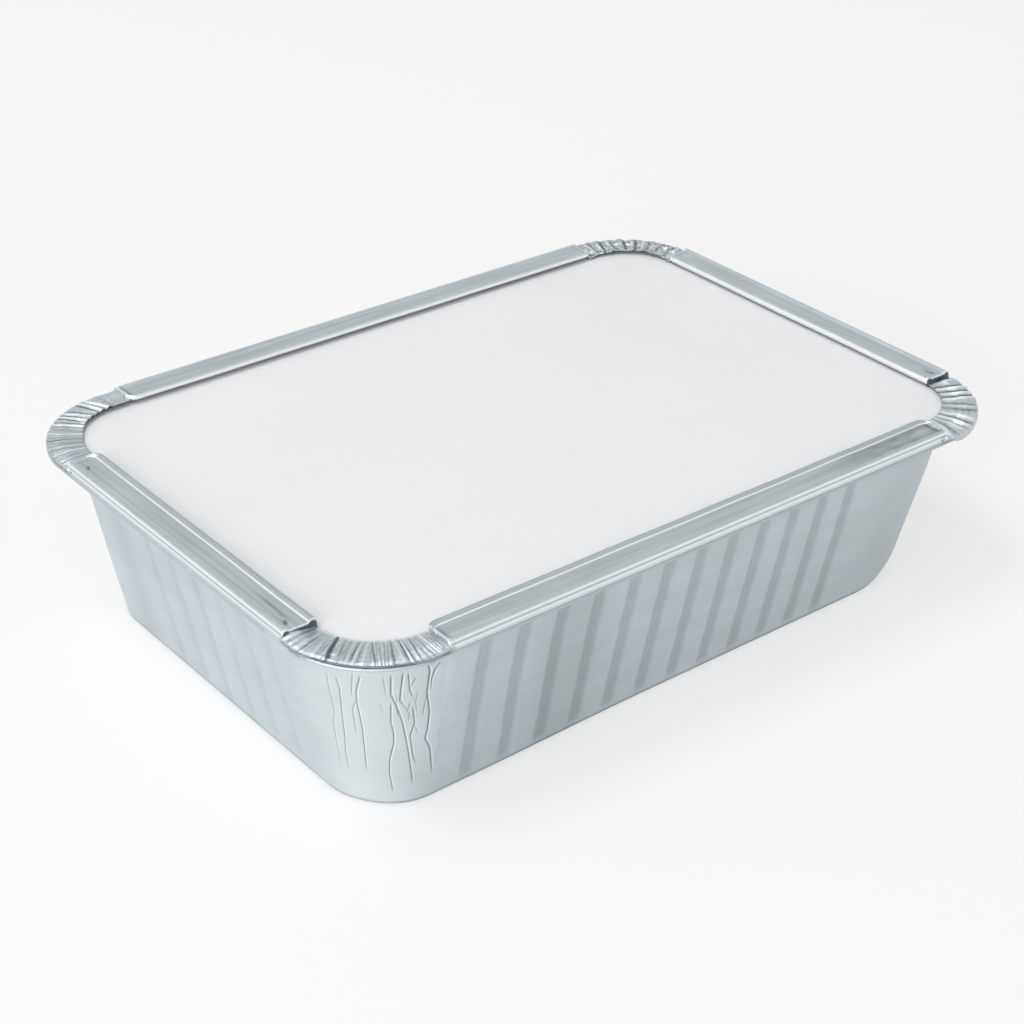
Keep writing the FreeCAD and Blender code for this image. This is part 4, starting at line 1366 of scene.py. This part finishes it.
def make_pleats(name, corner, start, end, folds, look, edge, seed):
    """One crushed corner between two strips.

    look holds the corner's own relief, line widths, tones of painted shade and highlight, random mottle and
    crumpling; edge gives, along the rim, the inner edge's inset and height, the crest's rise over the board,
    the bulge past the rim and how much it covers the hem, as rows of (travel, inset, height, rise, bulge,
    cover).
    """
    low, high = start - PLEAT_TUCK, end + PLEAT_TUCK
    travel = np.linspace(low, high, int((high - low) / PLEAT_STEP))
    tucked = tuck_share(travel, start, end)
    places = section_places(edge, travel, tucked)
    valley = np.array([pleat_profile(0.0, look["relief"], *place) for place in places])
    ridged = np.array([pleat_profile(1.0, look["relief"], *place) for place in places])
    rise, tone = lines_of_folds(corner, travel, with_ridges(folds), look, valley, ridged)
    free = 1 - tucked
    rise *= free[:, None]
    tone *= free[:, None]
    middle = valley + rise[:, :, None] * (ridged - valley)
    crumple(middle, tone, travel, free, look, seed)
    outline, inward = rim_point(corner, travel)
    points, tones = [], []
    for index in range(len(travel)):
        ring = thickened(middle[index])
        flat = outline[index] + inward[index] * ring[:, :1]
        points.append(np.column_stack([flat, ring[:, 1]]))
        tones.append(np.concatenate([tone[index], np.full(len(tone[index]), UNDERSIDE_TONE)]))
    faces = bar_faces(len(travel), len(points[0]))
    tone = np.clip(np.concatenate(tones), -STRONGEST_TONE, STRONGEST_TONE)
    make_piece(name, np.concatenate(points), faces, tone, foil_crushed)


def seen_folds(corner, folds):
    """Folds read from the photograph as travels along the rim."""
    return [(travel_at(corner, inner), travel_at(corner, outer), kind, strength)
            for inner, outer, kind, strength in folds]


def pleat_range(short_run, long_run):
    """Where a crushed corner starts and ends along the rim."""
    return RIM_CORNER - short_run, RIM_ARC + long_run - RIM_CORNER


# In each look, tone, edge_tone and outer_tone are painted shade below 0 and painted light above 0; mottle is
# random.
NEAR_LOOK = {
    "relief": 0.42, "dark_width": 0.22, "white_width": 0.22, "tone": -0.14, "crumple": 0.04,
    "mottle": 0.10, "scallop": 0.14, "edge_tone": 0.5, "outer_tone": -0.38}
LEFT_LOOK = {
    "relief": 0.3, "dark_width": 0.34, "white_width": 0.42, "tone": -0.16, "crumple": 0.05,
    "mottle": 0.12, "scallop": 0.06, "edge_tone": -0.1, "outer_tone": -0.1}
RIGHT_LOOK = {
    "relief": 0.8, "dark_width": 0.62, "white_width": 0.66, "tone": -0.14, "crumple": 0.06,
    "mottle": 0.14, "scallop": 0.08, "edge_tone": -0.1, "outer_tone": 0.1}
FAR_LOOK = {
    "relief": 0.35, "dark_width": 0.45, "white_width": 0.3, "tone": -0.3, "crumple": 0.26,
    "mottle": 0.34, "scallop": 0.3, "edge_tone": 0.0, "outer_tone": 0.0}

near_start, near_end = pleat_range(LEFT_RUNS[0], NEAR_RUNS[0])
make_pleats(
    "pleats_near", NEAR, near_start, near_end,
    seen_folds(NEAR, NEAR_FOLDS) + fine_folds(near_start, near_end, 30, 52), NEAR_LOOK, [
        (near_start, 8.6, 0.3, 1.55, 0.05, 0),
        (3, 9.1, 0.2, 1.3, 0.15, 0.45),
        (6, 9.3, 0.1, 1.1, 0.15, 0.55),
        (10, 9.4, 0.05, 1.05, -0.2, 0),
        (30, 9.9, 0.0, 1.05, -0.3, 0),
        (36, 9.3, 0.1, 1.3, 0.1, 0.5),
        (near_end, 9.2, 0.2, 1.4, 0.1, 0),
    ], 51)
left_start, left_end = pleat_range(LEFT_RUNS[1], FAR_RUNS[0])
make_pleats(
    "pleats_left", LEFT, left_start, left_end,
    seen_folds(LEFT, LEFT_FOLDS) + fine_folds(left_start, 14.0, 16, 62), LEFT_LOOK, [
        (left_start, 9.2, 0.2, 1.6, 0.0, 0),
        (14, 9.2, 0.2, 1.4, 0.0, 0.3),
        (24, 8.2, 1.2, 1.6, 0.0, 0),
        (left_end, 8.0, 1.7, 2.1, 0.0, 0),
    ], 61)
right_start, right_end = pleat_range(RIGHT_RUNS[0], NEAR_RUNS[1])
make_pleats(
    "pleats_right", RIGHT, right_start, right_end, seen_folds(RIGHT, RIGHT_FOLDS), RIGHT_LOOK, [
        (right_start, 8.2, 0.2, 0.8, 0.1, 0),
        (5, 8.3, 0.7, 1.5, 0.2, 0),
        (16, 8.6, 0.6, 1.7, 0.2, 0.2),
        (24, 9.0, 0.4, 1.6, 0.5, 1.0),
        (35, 9.2, 0.4, 1.5, 0.45, 0.9),
        (right_end - 1, 9.2, 0.4, 1.5, 0.2, 0),
    ], 71)
far_start, far_end = pleat_range(RIGHT_RUNS[1], FAR_RUNS[1])
make_pleats(
    "pleats_far", FAR, far_start, far_end, loose_folds(far_start, far_end, 19, 81), FAR_LOOK, [
        (far_start, 8.4, 0.5, 1.7, 0.1, 0),
        (14, 8.0, 1.4, 1.9, 0.1, 0),
        (30, 8.2, 1.2, 1.9, 0.1, 0),
        (far_end, 8.6, 0.2, 2.0, 0.1, 0),
    ], 82)


# The board keeps its own shape and gets its finish.
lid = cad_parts["card_lid"]
lid.data.materials.clear()
lid.data.materials.append(board)


# Floor, surroundings and lights.

FLOOR_REACH = 8.0
# A hair under the object, so that the floor and the tray's base never share a plane.
FLOOR_LEVEL = -0.00002
WORLD_LIGHT = 0.60
FLOOR_SHADE = 0.38
FLOOR_GLOW = 0.58
# Shade of the backdrop by the height of the direction looked in: 0 level, 1 straight up.
BACKDROP = [
    (0.0, 0.98), (0.36, 1.0), (0.44, 0.9), (0.52, 0.62), (0.62, 0.66), (0.78, 1.0), (1.0, 1.0)]
# Lamps: name, place in metres, size, power and colour, all aimed at one point of the tray.
LAMPS = [
    ("key", (-0.75, 0.25, 1.8), 0.9, 10.5, (1.0, 0.995, 0.985)),
    ("side", (-1.35, -0.6, 0.32), 1.1, 16.0, (1.0, 1.0, 1.0)),
]
LAMP_TARGET = (0, 0, 0.03)


def make_floor():
    """Pale floor that shows as near white and keeps the object's shadow."""
    mesh = bpy.data.meshes.new("floor")
    corners = [(x * FLOOR_REACH, y * FLOOR_REACH, FLOOR_LEVEL) for x, y in (NEAR, RIGHT, FAR, LEFT)]
    mesh.from_pydata(corners, [], [(0, 1, 2, 3)])
    floor = bpy.data.objects.new("floor", mesh)
    bpy.context.collection.objects.link(floor)
    material = bpy.data.materials.new("pale_floor")
    material.use_nodes = True
    tree = material.node_tree
    tree.nodes.clear()
    link = tree.links.new
    output = tree.nodes.new("ShaderNodeOutputMaterial")
    plain = node(tree, "ShaderNodeBsdfDiffuse", Color=(0.8, 0.8, 0.8, 1))
    faint = node(tree, "ShaderNodeBsdfDiffuse", Color=(FLOOR_SHADE, FLOOR_SHADE, FLOOR_SHADE, 1))
    glow = node(tree, "ShaderNodeEmission", Color=(1.0, 0.995, 0.99, 1), Strength=FLOOR_GLOW)
    shown = tree.nodes.new("ShaderNodeAddShader")
    link(faint.outputs["BSDF"], shown.inputs[0])
    link(glow.outputs["Emission"], shown.inputs[1])
    link(lit_and_seen(tree, plain.outputs["BSDF"], shown.outputs["Shader"]), output.inputs["Surface"])
    mesh.materials.append(material)


def seen_directly(tree):
    """1 where the camera, a reflection or a view through glass looks, and 0 for soft bounced light."""
    path = tree.nodes.new("ShaderNodeLightPath")
    seen = path.outputs["Is Camera Ray"]
    for kind in ("Is Glossy Ray", "Is Transmission Ray"):
        larger = tree.nodes.new("ShaderNodeMath")
        larger.operation = "MAXIMUM"
        tree.links.new(seen, larger.inputs[0])
        tree.links.new(path.outputs[kind], larger.inputs[1])
        seen = larger.outputs["Value"]
    return seen


def lit_and_seen(tree, lighting, seen):
    """One shader for soft bounced light, and another where the camera or a reflection looks."""
    mix = tree.nodes.new("ShaderNodeMixShader")
    tree.links.new(seen_directly(tree), mix.inputs["Fac"])
    tree.links.new(lighting, mix.inputs[1])
    tree.links.new(seen, mix.inputs[2])
    return mix.outputs["Shader"]


def make_world():
    """Pale surroundings that light the object softly; they show as white, greyer overhead."""
    world = bpy.data.worlds.new("surroundings")
    bpy.context.scene.world = world
    world.use_nodes = True
    tree = world.node_tree
    tree.nodes.clear()
    output = tree.nodes.new("ShaderNodeOutputWorld")
    lighting = node(tree, "ShaderNodeBackground", Color=(0.97, 0.985, 1.0, 1), Strength=WORLD_LIGHT)
    direction = tree.nodes.new("ShaderNodeTexCoord")
    parts = tree.nodes.new("ShaderNodeSeparateXYZ")
    tree.links.new(direction.outputs["Generated"], parts.inputs["Vector"])
    ramp = tree.nodes.new("ShaderNodeValToRGB")
    while len(ramp.color_ramp.elements) < len(BACKDROP):
        ramp.color_ramp.elements.new(1.0)
    for element, (height, grey) in zip(ramp.color_ramp.elements, BACKDROP):
        element.position = height
        element.color = (grey, grey, grey, 1)
    tree.links.new(parts.outputs["Z"], ramp.inputs["Fac"])
    backdrop = node(tree, "ShaderNodeBackground", Strength=1.0)
    tree.links.new(ramp.outputs["Color"], backdrop.inputs["Color"])
    both = lit_and_seen(tree, lighting.outputs["Background"], backdrop.outputs["Background"])
    tree.links.new(both, output.inputs["Surface"])


def make_lamp(name, place, size, power, colour):
    """Square soft light aimed at the tray; its place is in metres."""
    data = bpy.data.lights.new(name, "AREA")
    data.shape = "SQUARE"
    data.size = size
    data.energy = power
    data.color = colour
    lamp = bpy.data.objects.new(name, data)
    bpy.context.collection.objects.link(lamp)
    lamp.location = place
    aim = np.array(LAMP_TARGET) - np.array(place)
    lamp.rotation_mode = "QUATERNION"
    lamp.rotation_quaternion = Vector(aim).to_track_quat("-Z", "Y")


make_floor()
make_world()
for lamp_name, lamp_place, lamp_size, lamp_power, lamp_colour in LAMPS:
    make_lamp(lamp_name, lamp_place, lamp_size, lamp_power, lamp_colour)

bpy.context.scene.view_settings.view_transform = "Standard"
